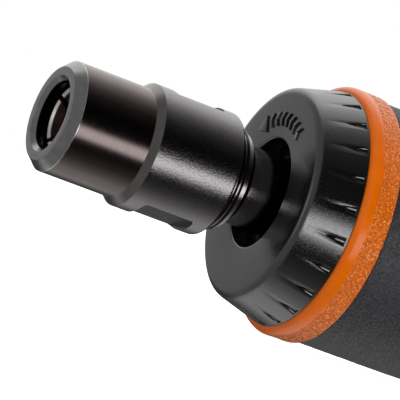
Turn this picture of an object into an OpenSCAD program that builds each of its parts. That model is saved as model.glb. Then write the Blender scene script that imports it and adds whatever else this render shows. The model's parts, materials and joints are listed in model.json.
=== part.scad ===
// Straight pneumatic die grinder, millimetres. The spindle axis is X, the nose points to -X and +Z is up.
// The origin is the centre of the collet's mouth.

/* [Collet nut] */
// Overall length of the nut
nut_length = 27.6; // [24:0.1:34]
// Diameter of the flat front face
nut_face_d = 14.4; // [13.6:0.1:16]
// Diameter of the front half
nut_front_d = 17; // [16.6:0.1:18]
// Diameter of the rear half
nut_rear_d = 19; // [18.6:0.1:23]
// Width across the two wrench flats
nut_flats = 17; // [16.8:0.1:18.5]
// Distance from the front face to the bevelled step
nut_step_at = 12.95; // [11:0.1:15]
// Length of the bevelled step
nut_step_length = 1.05; // [0.6:0.05:1.6]
// Length of the nose chamfer
nut_nose_length = 1.45; // [0.8:0.05:2]
// Diameter of the mouth
nut_mouth_d = 11; // [10.8:0.1:11.6]
// Rounding of the rear edge
nut_tail_round = 1.6; // [0.6:0.1:1.8]
// Length of each wrench flat
flat_length = 8.4; // [6:0.1:9]
// Angle of the wrench flats about the spindle
flat_turn = 11; // [0:1:90]

/* [Collet] */
// Diameter of the tool shank that the collet holds
shank_d = 6; // [3:0.1:6.4]
// Length of the collet
collet_length = 24; // [22:0.5:30]
// Depth of the collet's face behind the nut's face
collet_recess = 2.2; // [1.8:0.1:3]
// Width of the collet's slots
slot_width = 0.7; // [0.4:0.1:1]
// Angle of the first slot about the spindle
slot_turn = 35; // [0:1:90]

/* [Spindle] */
// Diameter of the spindle
spindle_d = 12; // [11.8:0.1:12.6]
// Outside diameter of the nut's thread
thread_d = 14.8; // [14.4:0.1:15]
// Pitch of the nut's thread
thread_pitch = 1; // [0.75:0.05:1.25]
// Length of thread that shows behind the nut
thread_shown = 2.9; // [1:0.1:5]
// Distance from the nut's rear edge to the cap's face
neck_gap = 8.1; // [5:0.1:12]

/* [Front cap] */
// Depth of the cap from its face to the bumper ring
cap_depth = 7.6; // [7:0.1:10]
// Diameter of the hole that the spindle passes through
cap_hole_d = 17; // [15.6:0.1:19]
// Thickness of the cap's front wall
cap_wall = 2.8; // [2:0.1:3.4]
// Widening of the cap's radius from its face to its rear edge
cap_flare = 2.05; // [1.2:0.05:3]
// Rounding of the cap's front edge
cap_round = 1.8; // [0.6:0.1:2.2]
// Number of grip notches around the cap
notch_count = 24; // [12:1:30]
// Depth of the grip notches at the cap's rear edge
notch_depth = 1.1; // [0.4:0.1:1.3]
// Angle of the first notch about the spindle
notch_turn = 8.2; // [0:0.1:15]

/* [Body] */
// Diameter of the rubber grip
grip_d = 38; // [37.6:0.1:46]
// Length of the rubber grip
grip_length = 58; // [46:0.5:72]
// Thickness of the rubber grip
grip_wall = 1.4; // [1:0.1:1.6]
// Depth of the grip's waist
grip_waist = 0.5; // [0:0.1:0.8]
// Wall of the housing around the motor
housing_wall = 2; // [1.6:0.1:2.2]
// Length of the rear handle section
rear_length = 42; // [40:0.5:52]
// Width of the bumper ring
bumper_width = 5.1; // [4:0.1:7]
// Height of the bumper ring above the grip
bumper_proud = 0.5; // [0.3:0.05:1]

/* [Motor] */
// Diameter of the rotor
rotor_d = 22; // [20:0.1:22.2]
// Diameter of the cylinder's bore
cylinder_bore_d = 25; // [24.8:0.1:26]
// Length of the cylinder
cylinder_length = 40; // [32:0.5:44]
// Thickness of a vane
vane_t = 1.9; // [1.4:0.1:2.4]
// Height of a vane
vane_height = 6.2; // [4:0.1:6.4]

/* [Throttle] */
// Reach of the lever forward of its pin
lever_reach = 64; // [50:1:76]
// Width of the lever
lever_width = 13; // [12.6:0.1:16]
// Thickness of the lever's top plate
lever_plate = 2; // [1.6:0.1:2.6]
// Swing of the lever in degrees
lever_throw = 7; // [5:0.5:7]
// Diameter of the lever's hinge pin
lever_pin_d = 3; // [2.5:0.1:3.4]
// Distance from the lever's pin to the valve stem
valve_arm = 16; // [14:0.5:18]
// Diameter of the valve stem
stem_d = 4; // [3:0.1:4.4]

/* [Tail] */
// Diameter of the exhaust deflector
deflector_d = 36.8; // [35:0.1:37.4]
// Length of the exhaust deflector
deflector_length = 14; // [12:0.5:18]
// Width across the flats of the air inlet
inlet_flats = 22; // [21:0.5:24]
// Length of the inlet's hexagon
inlet_length = 12; // [10:0.5:16]
// Bore of the inlet's thread
inlet_bore_d = 11.2; // [10:0.1:12]

/* [Hidden] */
// Every part of the grinder, front to rear

$fn = 72;
// Clearance of a seated piece, of a running fit, of a free running gap, and the overrun of a cut
seat = 0.05;
run_fit = 0.05;
free_gap = 0.3;
over = 1;

// Stations along the spindle, front to rear
nut_x0 = -collet_recess;
nut_x1 = nut_x0 + nut_length;
nut_step_x = nut_x0 + nut_step_at;
flat_tail = 2.6;
thread_x1 = nut_x1 + thread_shown;
cap_x0 = nut_x1 + neck_gap;
cap_x1 = cap_x0 + cap_depth;
retainer_x0 = cap_x0 + cap_wall + 1;
grip_x0 = cap_x1 + bumper_width;
grip_x1 = grip_x0 + grip_length;
rear_x0 = grip_x1;
rear_x1 = rear_x0 + rear_length;

// Radii of the body, each one inside the last
grip_r = grip_d / 2;
housing_r = grip_r - grip_wall;
motor_r = housing_r - housing_wall;
plate_r = motor_r - seat;
bumper_r = grip_r + bumper_proud;
cap_rear_r = grip_r - 0.55;
cap_face_r = cap_rear_r - cap_flare;
skirt_outer_r = motor_r - free_gap;
skirt_inner_r = skirt_outer_r - 1.7;
nose_r = skirt_inner_r - free_gap;

// Ball bearings: bore, outside and width of the 12 x 24 x 6 front one and the 7 x 19 x 6 rear one
front_out_r = 12;
front_w = 6;
front_ball_r = 1.5;
front_balls = 11;
rear_bore_r = 3.5;
rear_out_r = 9.5;
rear_w = 6;
rear_ball_r = 1.8;
rear_balls = 7;
ball_gap = 0.15;

// Motor
front_bearing_x1 = cap_x1 + front_w;
washer_t = 0.5;
pocket_x1 = front_bearing_x1 + washer_t + seat;
flange_x0 = front_bearing_x1 + seat;
plate_t = 7;
plate_x1 = flange_x0 + plate_t;
cylinder_x1 = plate_x1 + cylinder_length;
rear_plate_t = 9;
rear_plate_x1 = cylinder_x1 + rear_plate_t;
gasket_t = 1;
motor_x1 = rear_plate_x1 + gasket_t;
rotor_x0 = plate_x1 + free_gap;
rotor_x1 = cylinder_x1 - free_gap;
rotor_r = rotor_d / 2;
bore_r = cylinder_bore_d / 2;
bore_lift = bore_r - rotor_r - free_gap;
vane_slot_depth = vane_height + 0.3;
vane_count = 5;
spindle_r = spindle_d / 2;
front_pitch_r = (spindle_r + front_out_r) / 2;
rear_pitch_r = (rear_bore_r + rear_out_r) / 2;
rear_bearing_x0 = rear_plate_x1 - rear_w;
// Share of a ball's radius that a race's shoulder stands from the pitch circle, and half the cage's wall
race_shoulder = 0.55;
cage_wall = 0.3;
// How far the inner race and the cage stand inside the bearing's faces
race_inset = 0.15;
cage_inset = 0.7;
stud_r = 3.9;
stud_length = 12;
dowel_r = 1.2;
dowel_z = -(plate_r + bore_r - bore_lift) / 2;
duct_r = 2.2;
duct_y = plate_r - duct_r - 0.6;

// Collet and its seat
mouth_r = nut_mouth_d / 2;
collet_face_r = mouth_r - 0.2;
collet_body_r = collet_face_r + 1;
collet_cone = 3;
collet_taper_x = 8;
collet_tail_r = 4.6;
collet_gap = 0.25;
thread_r = thread_d / 2;
thread_bore_r = thread_r + free_gap;
thread_root = 0.4;
spindle_x0 = 13.5;
nut_thread_x = 12;
shank_room = 38;

// Throttle
lever_clear = 0.4;
lever_side = 1.6;
lever_skirt = 3.4;
pivot_x = rear_x0 + 20 + valve_arm;
valve_x = pivot_x - valve_arm;
pivot_z = grip_r + 3.2;
lever_eye_r = 2.7;
ear_t = 3;
ear_gap = lever_width / 2 + free_gap;
lever_slope = tan(lever_throw);
latch_arm = 42;
latch_x = pivot_x - latch_arm;
latch_drop = 1.9;
latch_z = lever_under(latch_arm) + lever_skirt - latch_drop;
latch_pin_r = 1;
latch_half = 2.6;
latch_leg = 5;
latch_t = 1.6;
latch_tab = 7.2;

// Valve
chamber_r = 5.5;
seat_z = 4;
upper_r = 3.4;
upper_z = 10;
bush_r = 4;
bush_flange_r = 5.2;
bush_flange_t = 1.2;
bush_z = grip_r - 0.8;
stem_r = stem_d / 2;
stem_top = lever_under(valve_arm) + lever_skirt - free_gap;
poppet_r = 4.4;
poppet_t = 2.2;
poppet_seal_t = 1;
poppet_z = seat_z - 0.1 - poppet_seal_t - poppet_t;
pad_z = -bumper_r;
clip_z = pad_z + 1.2;
clip_t = 0.8;
regulator_z0 = clip_z + clip_t + 0.1;
regulator_length = 7.4;
regulator_z1 = regulator_z0 + regulator_length;
spring_wire_r = 0.55;
spring_r = 3.3;
spring_turns = 5;

// Tail
spigot_r = 8;
spigot_length = 12;
barrel_r = 9;
deflector_x0 = rear_x1 + free_gap;
deflector_x1 = deflector_x0 + deflector_length;
deflector_r = deflector_d / 2;
deflector_wall = 2;
hex_x0 = deflector_x1 + free_gap;
hex_x1 = hex_x0 + inlet_length;
inlet_r = inlet_bore_d / 2;
passage_r = 4.5;
screen_flange_t = 0.8;

// Height of the lever's lower edge above the spindle axis, at a distance ahead of the pin
function lever_under(d) = grip_r + lever_clear + d * lever_slope;

// Points of an arc about a centre, from one angle to another
function arc(cx, cy, r, a0, a1, n = 6) =
    [for (i = [0:n]) [cx + r * cos(a0 + (a1 - a0) * i / n), cy + r * sin(a0 + (a1 - a0) * i / n)]];

// Ridges of a thread between two stations, as radius and station
function ridges(x0, x1, crest, depth, pitch) =
    let (n = floor((x1 - x0) / pitch))
    [for (i = [0:n - 1], k = [0, 1]) [crest - depth * k, x0 + (i + 0.15 + k * 0.5) * pitch]];

// Rings of points along a coil spring about Z
function coil_rings(r, wire, z0, z1, turns, sides, steps) =
    [for (i = [0:turns * steps], k = [0:sides - 1])
        let (a = 360 * i / steps, b = 360 * k / sides, q = r + wire * cos(b))
        [q * cos(a), q * sin(a), z0 + wire + (z1 - z0 - 2 * wire) * i / (turns * steps) + wire * sin(b)]];

// A solid turned about the spindle axis from points given as radius and station
module turned(points) {
    rotate([0, 90, 0]) rotate_extrude() polygon(points);
}

// A round bar along the spindle axis
module bar(x0, x1, r) {
    translate([x0, 0, 0]) rotate([0, 90, 0]) cylinder(h = x1 - x0, r = r);
}

// A washer or sleeve along the spindle axis
module sleeve(x0, x1, inner, outer) {
    turned([[inner, x0], [outer, x0], [outer, x1], [inner, x1]]);
}

// A torus about the spindle axis
module hoop(x, r, wire) {
    translate([x, 0, 0]) rotate([0, 90, 0]) rotate_extrude() translate([r, 0]) circle(r = wire, $fn = 24);
}

// A round bar along Z at a station
module post(x, z0, z1, r) {
    translate([x, 0, z0]) cylinder(h = z1 - z0, r = r);
}

// A round bar across the tool at a station and height
module cross_pin(x, z, half, r) {
    translate([x, 0, z]) rotate([90, 0, 0]) cylinder(h = 2 * half, r = r, center = true);
}

// A flat outline in the Y-Z plane, thickened along X from a station
module facing(x, t) {
    translate([x, 0, 0]) rotate([90, 0, 90]) linear_extrude(t) children();
}

// A side outline in the X-Z plane, thickened across the tool
module side_plate(y0, y1) {
    translate([0, y1, 0]) rotate([90, 0, 0]) linear_extrude(y1 - y0) children();
}

// The two exhaust ducts that run past the valve
module ducts(x0, x1) {
    for (y = [-duct_y, duct_y]) translate([0, y, 0]) bar(x0, x1, duct_r);
}

// One milled wrench flat: a rounded pocket cut square to the flat
module wrench_flat() {
    half = sqrt(pow(nut_rear_d / 2, 2) - pow(nut_flats / 2, 2)) + 0.8;
    corner = 2;
    x0 = nut_x1 - flat_tail - flat_length;
    translate([x0, 0, nut_flats / 2]) linear_extrude(nut_rear_d) {
        translate([0, -half + corner]) square([flat_length, 2 * (half - corner)]);
        translate([corner, -half]) square([flat_length - 2 * corner, 2 * half]);
        for (x = [corner, flat_length - corner], y = [corner - half, half - corner])
            translate([x, y]) circle(r = corner, $fn = 32);
    }
}

module collet_nut() {
    front_r = nut_front_d / 2;
    rear_r = nut_rear_d / 2;
    face_r = nut_face_d / 2;
    chamfer = 0.6;
    color("#2b2c30") difference() {
        turned(concat(
            [[mouth_r + chamfer, nut_x0], [face_r, nut_x0], [front_r, nut_x0 + nut_nose_length],
                [front_r, nut_step_x], [rear_r, nut_step_x + nut_step_length]],
            arc(rear_r - nut_tail_round, nut_x1 - nut_tail_round, nut_tail_round, 0, 75),
            [[thread_bore_r, nut_x1], [thread_bore_r, nut_thread_x],
                [collet_body_r + collet_gap, nut_thread_x], [collet_body_r + collet_gap, collet_cone],
                [mouth_r, -collet_gap], [mouth_r, nut_x0 + chamfer]]));
        for (turn = [0, 180]) rotate([turn - flat_turn, 0, 0]) wrench_flat();
    }
}

module collet() {
    face_chamfer = 0.3;
    slot_length = collet_length - 4;
    color("#b9bbbd") difference() {
        turned([[shank_d / 2, 0], [collet_face_r - face_chamfer, 0], [collet_face_r, face_chamfer],
            [collet_body_r, collet_cone], [collet_body_r, collet_taper_x],
            [collet_tail_r, collet_length], [shank_d / 2, collet_length]]);
        for (turn = [0, 90]) rotate([slot_turn + turn, 0, 0])
            translate([-over, -collet_body_r - over, -slot_width / 2])
                cube([slot_length + over, 2 * (collet_body_r + over), slot_width]);
    }
}

module spindle() {
    room_r = shank_d / 2 + 0.4;
    mouth = collet_body_r - (collet_body_r - collet_tail_r) * (spindle_x0 - collet_taper_x)
        / (collet_length - collet_taper_x) + collet_gap;
    pocket_r = collet_tail_r + collet_gap;
    socket_x = rotor_x0 - stud_length - 1;
    color("#1f2022") difference() {
        turned(concat(
            [[mouth, spindle_x0], [thread_r - thread_root, spindle_x0]],
            ridges(spindle_x0, thread_x1, thread_r, thread_root, thread_pitch),
            [[spindle_r + 0.6, thread_x1 + 0.4], [spindle_r, thread_x1 + 1], [spindle_r, rotor_x0],
                [stud_r + seat, rotor_x0], [stud_r + seat, socket_x], [0, socket_x], [0, shank_room],
                [room_r, shank_room], [room_r, collet_length + 2], [pocket_r, collet_length + 2],
                [pocket_r, collet_length]]));
    }
}

// One moulded chevron of the direction mark, pointing towards +Y at the top of the cap
module chevron(w, h) {
    polygon([[-w, -h], [0, -h], [w, 0], [0, h], [-w, h], [0, 0]]);
}

module front_cap() {
    hole_r = cap_hole_d / 2;
    hole_chamfer = 0.4;
    mark_r = (hole_r + cap_face_r - cap_round) / 2;
    mark_h = 0.3;
    mark_half = 1.15;
    marks = 7;
    arrow = 1.65;
    mark_step = 8.5;
    notch_length = 4.6;
    notch_x0 = cap_x1 - notch_length;
    notch_r0 = cap_rear_r - cap_flare * notch_length / (cap_depth - cap_round) + 0.1;
    notch_tilt = atan((cap_rear_r - notch_depth - notch_r0) / (cap_x1 - notch_x0));
    color("#232325") {
        difference() {
            turned(concat(
                [[hole_r + hole_chamfer, cap_x0]],
                arc(cap_face_r - cap_round, cap_x0 + cap_round, cap_round, -90, 0),
                [[cap_rear_r, cap_x1], [skirt_outer_r, cap_x1], [skirt_outer_r, front_bearing_x1],
                    [skirt_inner_r, front_bearing_x1], [skirt_inner_r, cap_x0 + cap_wall],
                    [hole_r, cap_x0 + cap_wall], [hole_r, cap_x0 + hole_chamfer]]));
            for (i = [0:notch_count - 1]) rotate([notch_turn + i * 360 / notch_count, 0, 0])
                translate([notch_x0, 0, notch_r0]) rotate([0, -notch_tilt, 0])
                    facing(0, 2 * cap_depth) polygon([[0, 0], [3, 3], [-3, 3]]);
        }
        facing(cap_x0 - mark_h, mark_h + 0.2) {
            for (i = [0:marks - 1]) rotate((i - (marks - 2) / 2) * mark_step)
                translate([0, mark_r]) chevron(0.55, mark_half);
            rotate(-(marks + 1) / 2 * mark_step) translate([0, mark_r])
                polygon([[-arrow, -arrow], [arrow, 0], [-arrow, arrow]]);
        }
    }
}

module bearing_retainer() {
    hole_circle = 9.3;
    spanner_hole_r = 1.1;
    color("#3a3a3c") difference() {
        sleeve(retainer_x0, cap_x1, spindle_r + 1, nose_r);
        for (i = [0:3]) rotate([45 + 90 * i, 0, 0])
            translate([0, 0, hole_circle]) bar(retainer_x0 - over, retainer_x0 + 2, spanner_hole_r);
    }
}

module spindle_seal() {
    color("#151515") sleeve(retainer_x0 + 0.5, cap_x1 - 0.4, spindle_r + run_fit * 2, spindle_r + 1 - seat);
}

// The two races, the balls and the cage of a ball bearing whose front face is at a station
module outer_race(x, w, pitch_r, ball_r, out_r) {
    color("#a9acb0") difference() {
        sleeve(x, x + w, pitch_r + ball_r * race_shoulder, out_r);
        hoop(x + w / 2, pitch_r, ball_r + ball_gap);
    }
}

module inner_race(x, w, pitch_r, ball_r, bore) {
    color("#a9acb0") difference() {
        sleeve(x + race_inset, x + w - race_inset, bore + seat, pitch_r - ball_r * race_shoulder);
        hoop(x + w / 2, pitch_r, ball_r + ball_gap);
    }
}

module ball_set(x, w, pitch_r, ball_r, count) {
    color("#c9ccd0") for (i = [0:count - 1]) rotate([i * 360 / count, 0, 0])
        translate([x + w / 2, 0, pitch_r]) sphere(r = ball_r, $fn = 32);
}

module cage(x, w, pitch_r, ball_r, count) {
    half = ball_r * cage_wall;
    color("#8d7a4a") difference() {
        sleeve(x + cage_inset, x + w - cage_inset, pitch_r - half, pitch_r + half);
        for (i = [0:count - 1]) rotate([i * 360 / count, 0, 0])
            translate([x + w / 2, 0, pitch_r]) sphere(r = ball_r + ball_gap, $fn = 32);
    }
}

module front_bearing_outer() {
    outer_race(cap_x1, front_w, front_pitch_r, front_ball_r, front_out_r);
}

module front_bearing_inner() {
    inner_race(cap_x1, front_w, front_pitch_r, front_ball_r, spindle_r);
}

module front_bearing_balls() {
    ball_set(cap_x1, front_w, front_pitch_r, front_ball_r, front_balls);
}

module front_bearing_cage() {
    cage(cap_x1, front_w, front_pitch_r, front_ball_r, front_balls);
}

module rear_bearing_outer() {
    outer_race(rear_bearing_x0, rear_w, rear_pitch_r, rear_ball_r, rear_out_r);
}

module rear_bearing_inner() {
    inner_race(rear_bearing_x0, rear_w, rear_pitch_r, rear_ball_r, rear_bore_r);
}

module rear_bearing_balls() {
    ball_set(rear_bearing_x0, rear_w, rear_pitch_r, rear_ball_r, rear_balls);
}

module rear_bearing_cage() {
    cage(rear_bearing_x0, rear_w, rear_pitch_r, rear_ball_r, rear_balls);
}

module wave_washer() {
    color("#8f9296") sleeve(front_bearing_x1, front_bearing_x1 + washer_t, spindle_r + 3, front_out_r - 0.3);
}

module front_end_plate() {
    color("#75787c") difference() {
        turned([[spindle_r + free_gap + 0.1, pocket_x1], [front_out_r + seat, pocket_x1],
            [front_out_r + seat, cap_x1], [nose_r, cap_x1], [nose_r, flange_x0], [plate_r, flange_x0],
            [plate_r, plate_x1], [spindle_r + free_gap + 0.1, plate_x1]]);
        translate([0, 0, dowel_z]) bar(plate_x1 - 4, plate_x1 + over, dowel_r + seat);
    }
}

module cylinder_ports() {
    for (x = [0.3, 0.5, 0.7]) for (side = [-1, 1])
        translate([plate_x1 + cylinder_length * x, side * bore_r, 6])
            rotate([0, 90 * side, 90]) cylinder(h = 12, r = 1.6, center = true);
}

module cylinder_liner() {
    color("#8a8d92") difference() {
        bar(plate_x1, cylinder_x1, plate_r);
        translate([0, 0, bore_lift]) bar(plate_x1 - over, cylinder_x1 + over, bore_r);
        translate([0, 0, dowel_z]) bar(plate_x1 - over, cylinder_x1 + over, dowel_r + seat);
        cylinder_ports();
    }
}

module rotor() {
    color("#6d7075") difference() {
        turned([[0, rotor_x0 - stud_length], [stud_r, rotor_x0 - stud_length], [stud_r, rotor_x0 + seat],
            [rotor_r, rotor_x0 + seat], [rotor_r, rotor_x1], [rear_bore_r + 1.2, rotor_x1],
            [rear_bore_r + 1.2, rear_bearing_x0], [rear_bore_r, rear_bearing_x0],
            [rear_bore_r, rear_plate_x1 - 0.2], [0, rear_plate_x1 - 0.2]]);
        for (i = [1:vane_count]) rotate([360 / vane_count * i, 0, 0])
            translate([rotor_x0 - over / 4, -vane_t / 2 - seat, rotor_r - vane_slot_depth])
                cube([rotor_x1 - rotor_x0 + over, vane_t + 2 * seat, vane_slot_depth + over]);
    }
}

module vane(i) {
    color("#5a4630") rotate([360 / vane_count * i, 0, 0])
        translate([rotor_x0 + 0.1, -vane_t / 2, rotor_r - 0.1 - vane_height])
            cube([rotor_x1 - rotor_x0 - 0.2, vane_t, vane_height]);
}

module rear_end_plate() {
    color("#75787c") difference() {
        turned([[rear_bore_r + 1.6, cylinder_x1], [plate_r, cylinder_x1], [plate_r, rear_plate_x1],
            [rear_out_r + seat, rear_plate_x1], [rear_out_r + seat, rear_bearing_x0 - 0.1],
            [rear_bore_r + 1.6, rear_bearing_x0 - 0.1]]);
        translate([0, 0, dowel_z]) bar(cylinder_x1 - over, cylinder_x1 + 4, dowel_r + seat);
        ducts(cylinder_x1 - over, rear_plate_x1 + over);
    }
}

module dowel_pin() {
    color("#c3c6ca") translate([0, 0, dowel_z]) bar(plate_x1 - 3.8, cylinder_x1 + 3.8, dowel_r);
}

module gasket() {
    color("#3c3a34") difference() {
        sleeve(rear_plate_x1, motor_x1 - seat, rear_out_r - 1, plate_r);
        ducts(rear_plate_x1 - over, motor_x1 + over);
    }
}

// The pad under the regulator: flat below, so that the tool stands and doesn't roll
module pad() {
    half_x = 12;
    half_y = 8.5;
    round_r = 3;
    slope = 1.2;
    translate([valve_x, 0, 0]) hull() {
        for (x = [-1, 1], y = [-1, 1]) {
            translate([x * (half_x - round_r), y * (half_y - round_r), pad_z])
                cylinder(h = 1, r1 = round_r - slope / 2, r2 = round_r, $fn = 32);
            translate([x * (half_x - round_r + 1), y * (half_y - round_r), -grip_r * 0.8])
                cylinder(h = 1, r = round_r, $fn = 32);
        }
    }
}

// The pair of ears that carry the lever's pin
module ears() {
    root_half = 7;
    for (side = [0, 1]) mirror([0, side, 0]) side_plate(ear_gap, ear_gap + ear_t) {
        translate([pivot_x, pivot_z]) circle(r = lever_eye_r + 0.6);
        polygon([[pivot_x - root_half, grip_r * 0.8], [pivot_x + rear_x1 - pivot_x, grip_r * 0.8],
            [pivot_x + 2.9, pivot_z + 1.4], [pivot_x - 2.9, pivot_z + 1.4]]);
    }
}

module housing() {
    rear_round = 1.5;
    groove_r = 0.7;
    grooves = 4;
    color("#2a2a2c") difference() {
        union() {
            bar(cap_x1 + free_gap / 2, rear_x0 + over, housing_r);
            turned(concat(
                [[0, rear_x0], [grip_r, rear_x0]],
                arc(grip_r - rear_round, rear_x1 - rear_round, rear_round, 0, 90),
                [[0, rear_x1]]));
            pad();
            ears();
        }
        bar(cap_x1 - over, motor_x1, motor_r);
        bar(rear_x1 - spigot_length - over, rear_x1 + over, spigot_r + seat);
        bar(valve_x, rear_x1, passage_r);
        post(valve_x, pad_z - over, seat_z, chamber_r);
        post(valve_x, seat_z - over, upper_z, upper_r);
        post(valve_x, upper_z, bush_z + over, bush_r + seat);
        post(valve_x, bush_z, pivot_z + over, bush_flange_r + 0.3);
        post(valve_x, clip_z, clip_z + clip_t, chamber_r + 0.7);
        translate([0, 0, (seat_z + upper_z) / 2]) bar(motor_x1 - over, valve_x, 2.4);
        ducts(motor_x1 - over, rear_x1 + over);
        cross_pin(pivot_x, pivot_z, lever_width, lever_pin_d / 2 + seat);
        for (i = [0:grooves - 1]) hoop(rear_x0 + 5 + i * 2.6, grip_r, groove_r);
    }
}

module grip() {
    waist = [for (i = [0:12]) let (t = i / 12)
        [grip_r - grip_waist * (1 - cos(360 * t)) / 2, grip_x0 + 14 + (grip_length - 16) * t]];
    color("#19191a") turned(concat(
        [[housing_r + seat, grip_x0], [grip_r, grip_x0]], waist,
        [[grip_r, grip_x1], [housing_r + seat, grip_x1]]));
}

module bumper_ring() {
    lip = 1.3;
    color("#e0660f") turned(concat(
        [[housing_r + seat, cap_x1]],
        [[cap_rear_r, cap_x1]],
        arc(bumper_r - lip, cap_x1 + lip, lip, -60, 0),
        [[bumper_r, grip_x0 - 0.5], [bumper_r - 0.4, grip_x0], [housing_r + seat, grip_x0]]));
}

module throttle_lever() {
    tip_round = 3;
    tip = pivot_x - lever_reach;
    under_tip = lever_under(lever_reach);
    height = lever_skirt + lever_plate;
    inner_half = lever_width / 2 - lever_side;
    tail = 2.2;
    color("#2d2e31") difference() {
        union() {
            side_plate(-lever_width / 2, lever_width / 2) polygon(concat(
                [[pivot_x + tail, lever_under(-tail)], [pivot_x + tail, lever_under(-tail) + height]],
                arc(tip + tip_round, under_tip + height - tip_round, tip_round, 90, 180),
                [[tip, under_tip - 0.2], [tip + 2, under_tip - 0.2]]));
            cross_pin(pivot_x, pivot_z, lever_width / 2, lever_eye_r);
        }
        side_plate(-inner_half, inner_half) polygon(
            [[pivot_x - lever_eye_r - 0.8, lever_under(lever_eye_r + 0.8) - over * 3],
                [pivot_x - lever_eye_r - 0.8, lever_under(lever_eye_r + 0.8) + lever_skirt],
                [tip + lever_side, lever_under(lever_reach - lever_side) + lever_skirt],
                [tip + lever_side, under_tip - over * 3]]);
        cross_pin(pivot_x, pivot_z, lever_width, lever_pin_d / 2 + run_fit);
        cross_pin(latch_x, latch_z, lever_width, latch_pin_r + seat);
        translate([latch_x - latch_tab - 1.2, -latch_half - 0.5, latch_z])
            cube([latch_tab + 3.4, 2 * latch_half + 1, 12]);
    }
}

module lever_pin() {
    color("#b4b6b9") cross_pin(pivot_x, pivot_z, ear_gap + ear_t, lever_pin_d / 2);
}

module safety_latch() {
    half_t = latch_t / 2;
    color("#d2d4d6") difference() {
        side_plate(-latch_half, latch_half) translate([latch_x, latch_z]) {
            circle(r = latch_pin_r + 0.55);
            polygon([[-half_t, -latch_leg], [half_t, -latch_leg], [half_t, 0], [-half_t, 0]]);
            polygon([[-half_t, 0], [half_t, 0], [half_t, latch_tab - 1], [half_t - 0.4, latch_tab],
                [0.4 - half_t, latch_tab], [-half_t, latch_tab - 1]]);
        }
        cross_pin(latch_x, latch_z, latch_half + over, latch_pin_r + run_fit);
    }
}

module latch_pin() {
    color("#b4b6b9") cross_pin(latch_x, latch_z, lever_width / 2, latch_pin_r);
}

module latch_spring() {
    wire = 0.25;
    first = 0.55;
    step = 0.56;
    color("#c8cace") for (side = [-1, 1], i = [0:2])
        translate([latch_x, side * (latch_half + first + i * step), latch_z]) rotate([90, 0, 0])
            rotate_extrude() translate([latch_pin_r + 2 * run_fit + wire, 0]) circle(r = wire, $fn = 16);
}

module valve_bush() {
    groove_z = bush_z - 2;
    color("#b08d3f") translate([valve_x, 0, 0]) rotate_extrude() polygon([
        [stem_r + run_fit, upper_z], [bush_r, upper_z], [bush_r, bush_z], [bush_flange_r, bush_z],
        [bush_flange_r, bush_z + bush_flange_t - 0.3], [bush_flange_r - 0.3, bush_z + bush_flange_t],
        [stem_r + run_fit, bush_z + bush_flange_t], [stem_r + run_fit, groove_z + 1.3],
        [stem_r + 1.3, groove_z + 1.3], [stem_r + 1.3, groove_z], [stem_r + run_fit, groove_z]]);
}

module stem_seal() {
    wire = 0.55;
    color("#111111") translate([valve_x, 0, bush_z - 2 + 0.65]) rotate_extrude()
        translate([stem_r + run_fit * 2 + wire, 0]) circle(r = wire, $fn = 24);
}

module valve_stem() {
    color("#b9bcc0") translate([valve_x, 0, 0]) rotate_extrude() polygon([
        [0, poppet_z], [poppet_r, poppet_z], [poppet_r, poppet_z + poppet_t],
        [stem_r, poppet_z + poppet_t], [stem_r, stem_top - 0.8], [stem_r - 1, stem_top], [0, stem_top]]);
}

module poppet_seal() {
    z0 = poppet_z + poppet_t;
    z1 = z0 + poppet_seal_t;
    color("#111111") translate([valve_x, 0, 0]) rotate_extrude() polygon([
        [stem_r + seat, z0], [poppet_r, z0], [poppet_r, z1], [stem_r + seat, z1]]);
}

module valve_spring() {
    sides = 8;
    steps = 20;
    count = spring_turns * steps;
    points = coil_rings(spring_r, spring_wire_r, regulator_z1 + seat, poppet_z - seat, spring_turns, sides,
        steps);
    walls = [for (i = [0:count - 1], k = [0:sides - 1]) let (n = (k + 1) % sides)
        [i * sides + k, (i + 1) * sides + k, (i + 1) * sides + n, i * sides + n]];
    first = [[for (k = [0:sides - 1]) k]];
    last = [[for (k = [sides - 1:-1:0]) count * sides + k]];
    color("#c8cace") translate([valve_x, 0, 0]) polyhedron(points, concat(first, walls, last));
}

module regulator() {
    groove_z = regulator_z0 + 4;
    plug_r = chamber_r - run_fit;
    color("#9b7b35") difference() {
        translate([valve_x, 0, 0]) rotate_extrude() polygon([
            [0, regulator_z0], [plug_r - 0.4, regulator_z0], [plug_r, regulator_z0 + 0.4],
            [plug_r, groove_z], [chamber_r - 1.3, groove_z], [chamber_r - 1.3, groove_z + 1.4],
            [plug_r, groove_z + 1.4], [plug_r, regulator_z1], [0, regulator_z1]]);
        translate([valve_x - 4, -0.6, regulator_z0 - over]) cube([8, 1.2, over + 1.3]);
    }
}

module regulator_seal() {
    wire = 0.55;
    color("#111111") translate([valve_x, 0, regulator_z0 + 4.7]) rotate_extrude()
        translate([chamber_r - 0.12 - wire, 0]) circle(r = wire, $fn = 24);
}

module regulator_clip() {
    inner = chamber_r - 0.9;
    color("#8f9296") difference() {
        translate([valve_x, 0, clip_z + seat]) linear_extrude(clip_t - 2 * seat) difference() {
            circle(r = chamber_r + 0.6);
            circle(r = inner);
        }
        translate([valve_x + 1, -1.4, clip_z - over]) cube([chamber_r + over, 2.8, clip_t + 2 * over]);
    }
}

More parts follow.
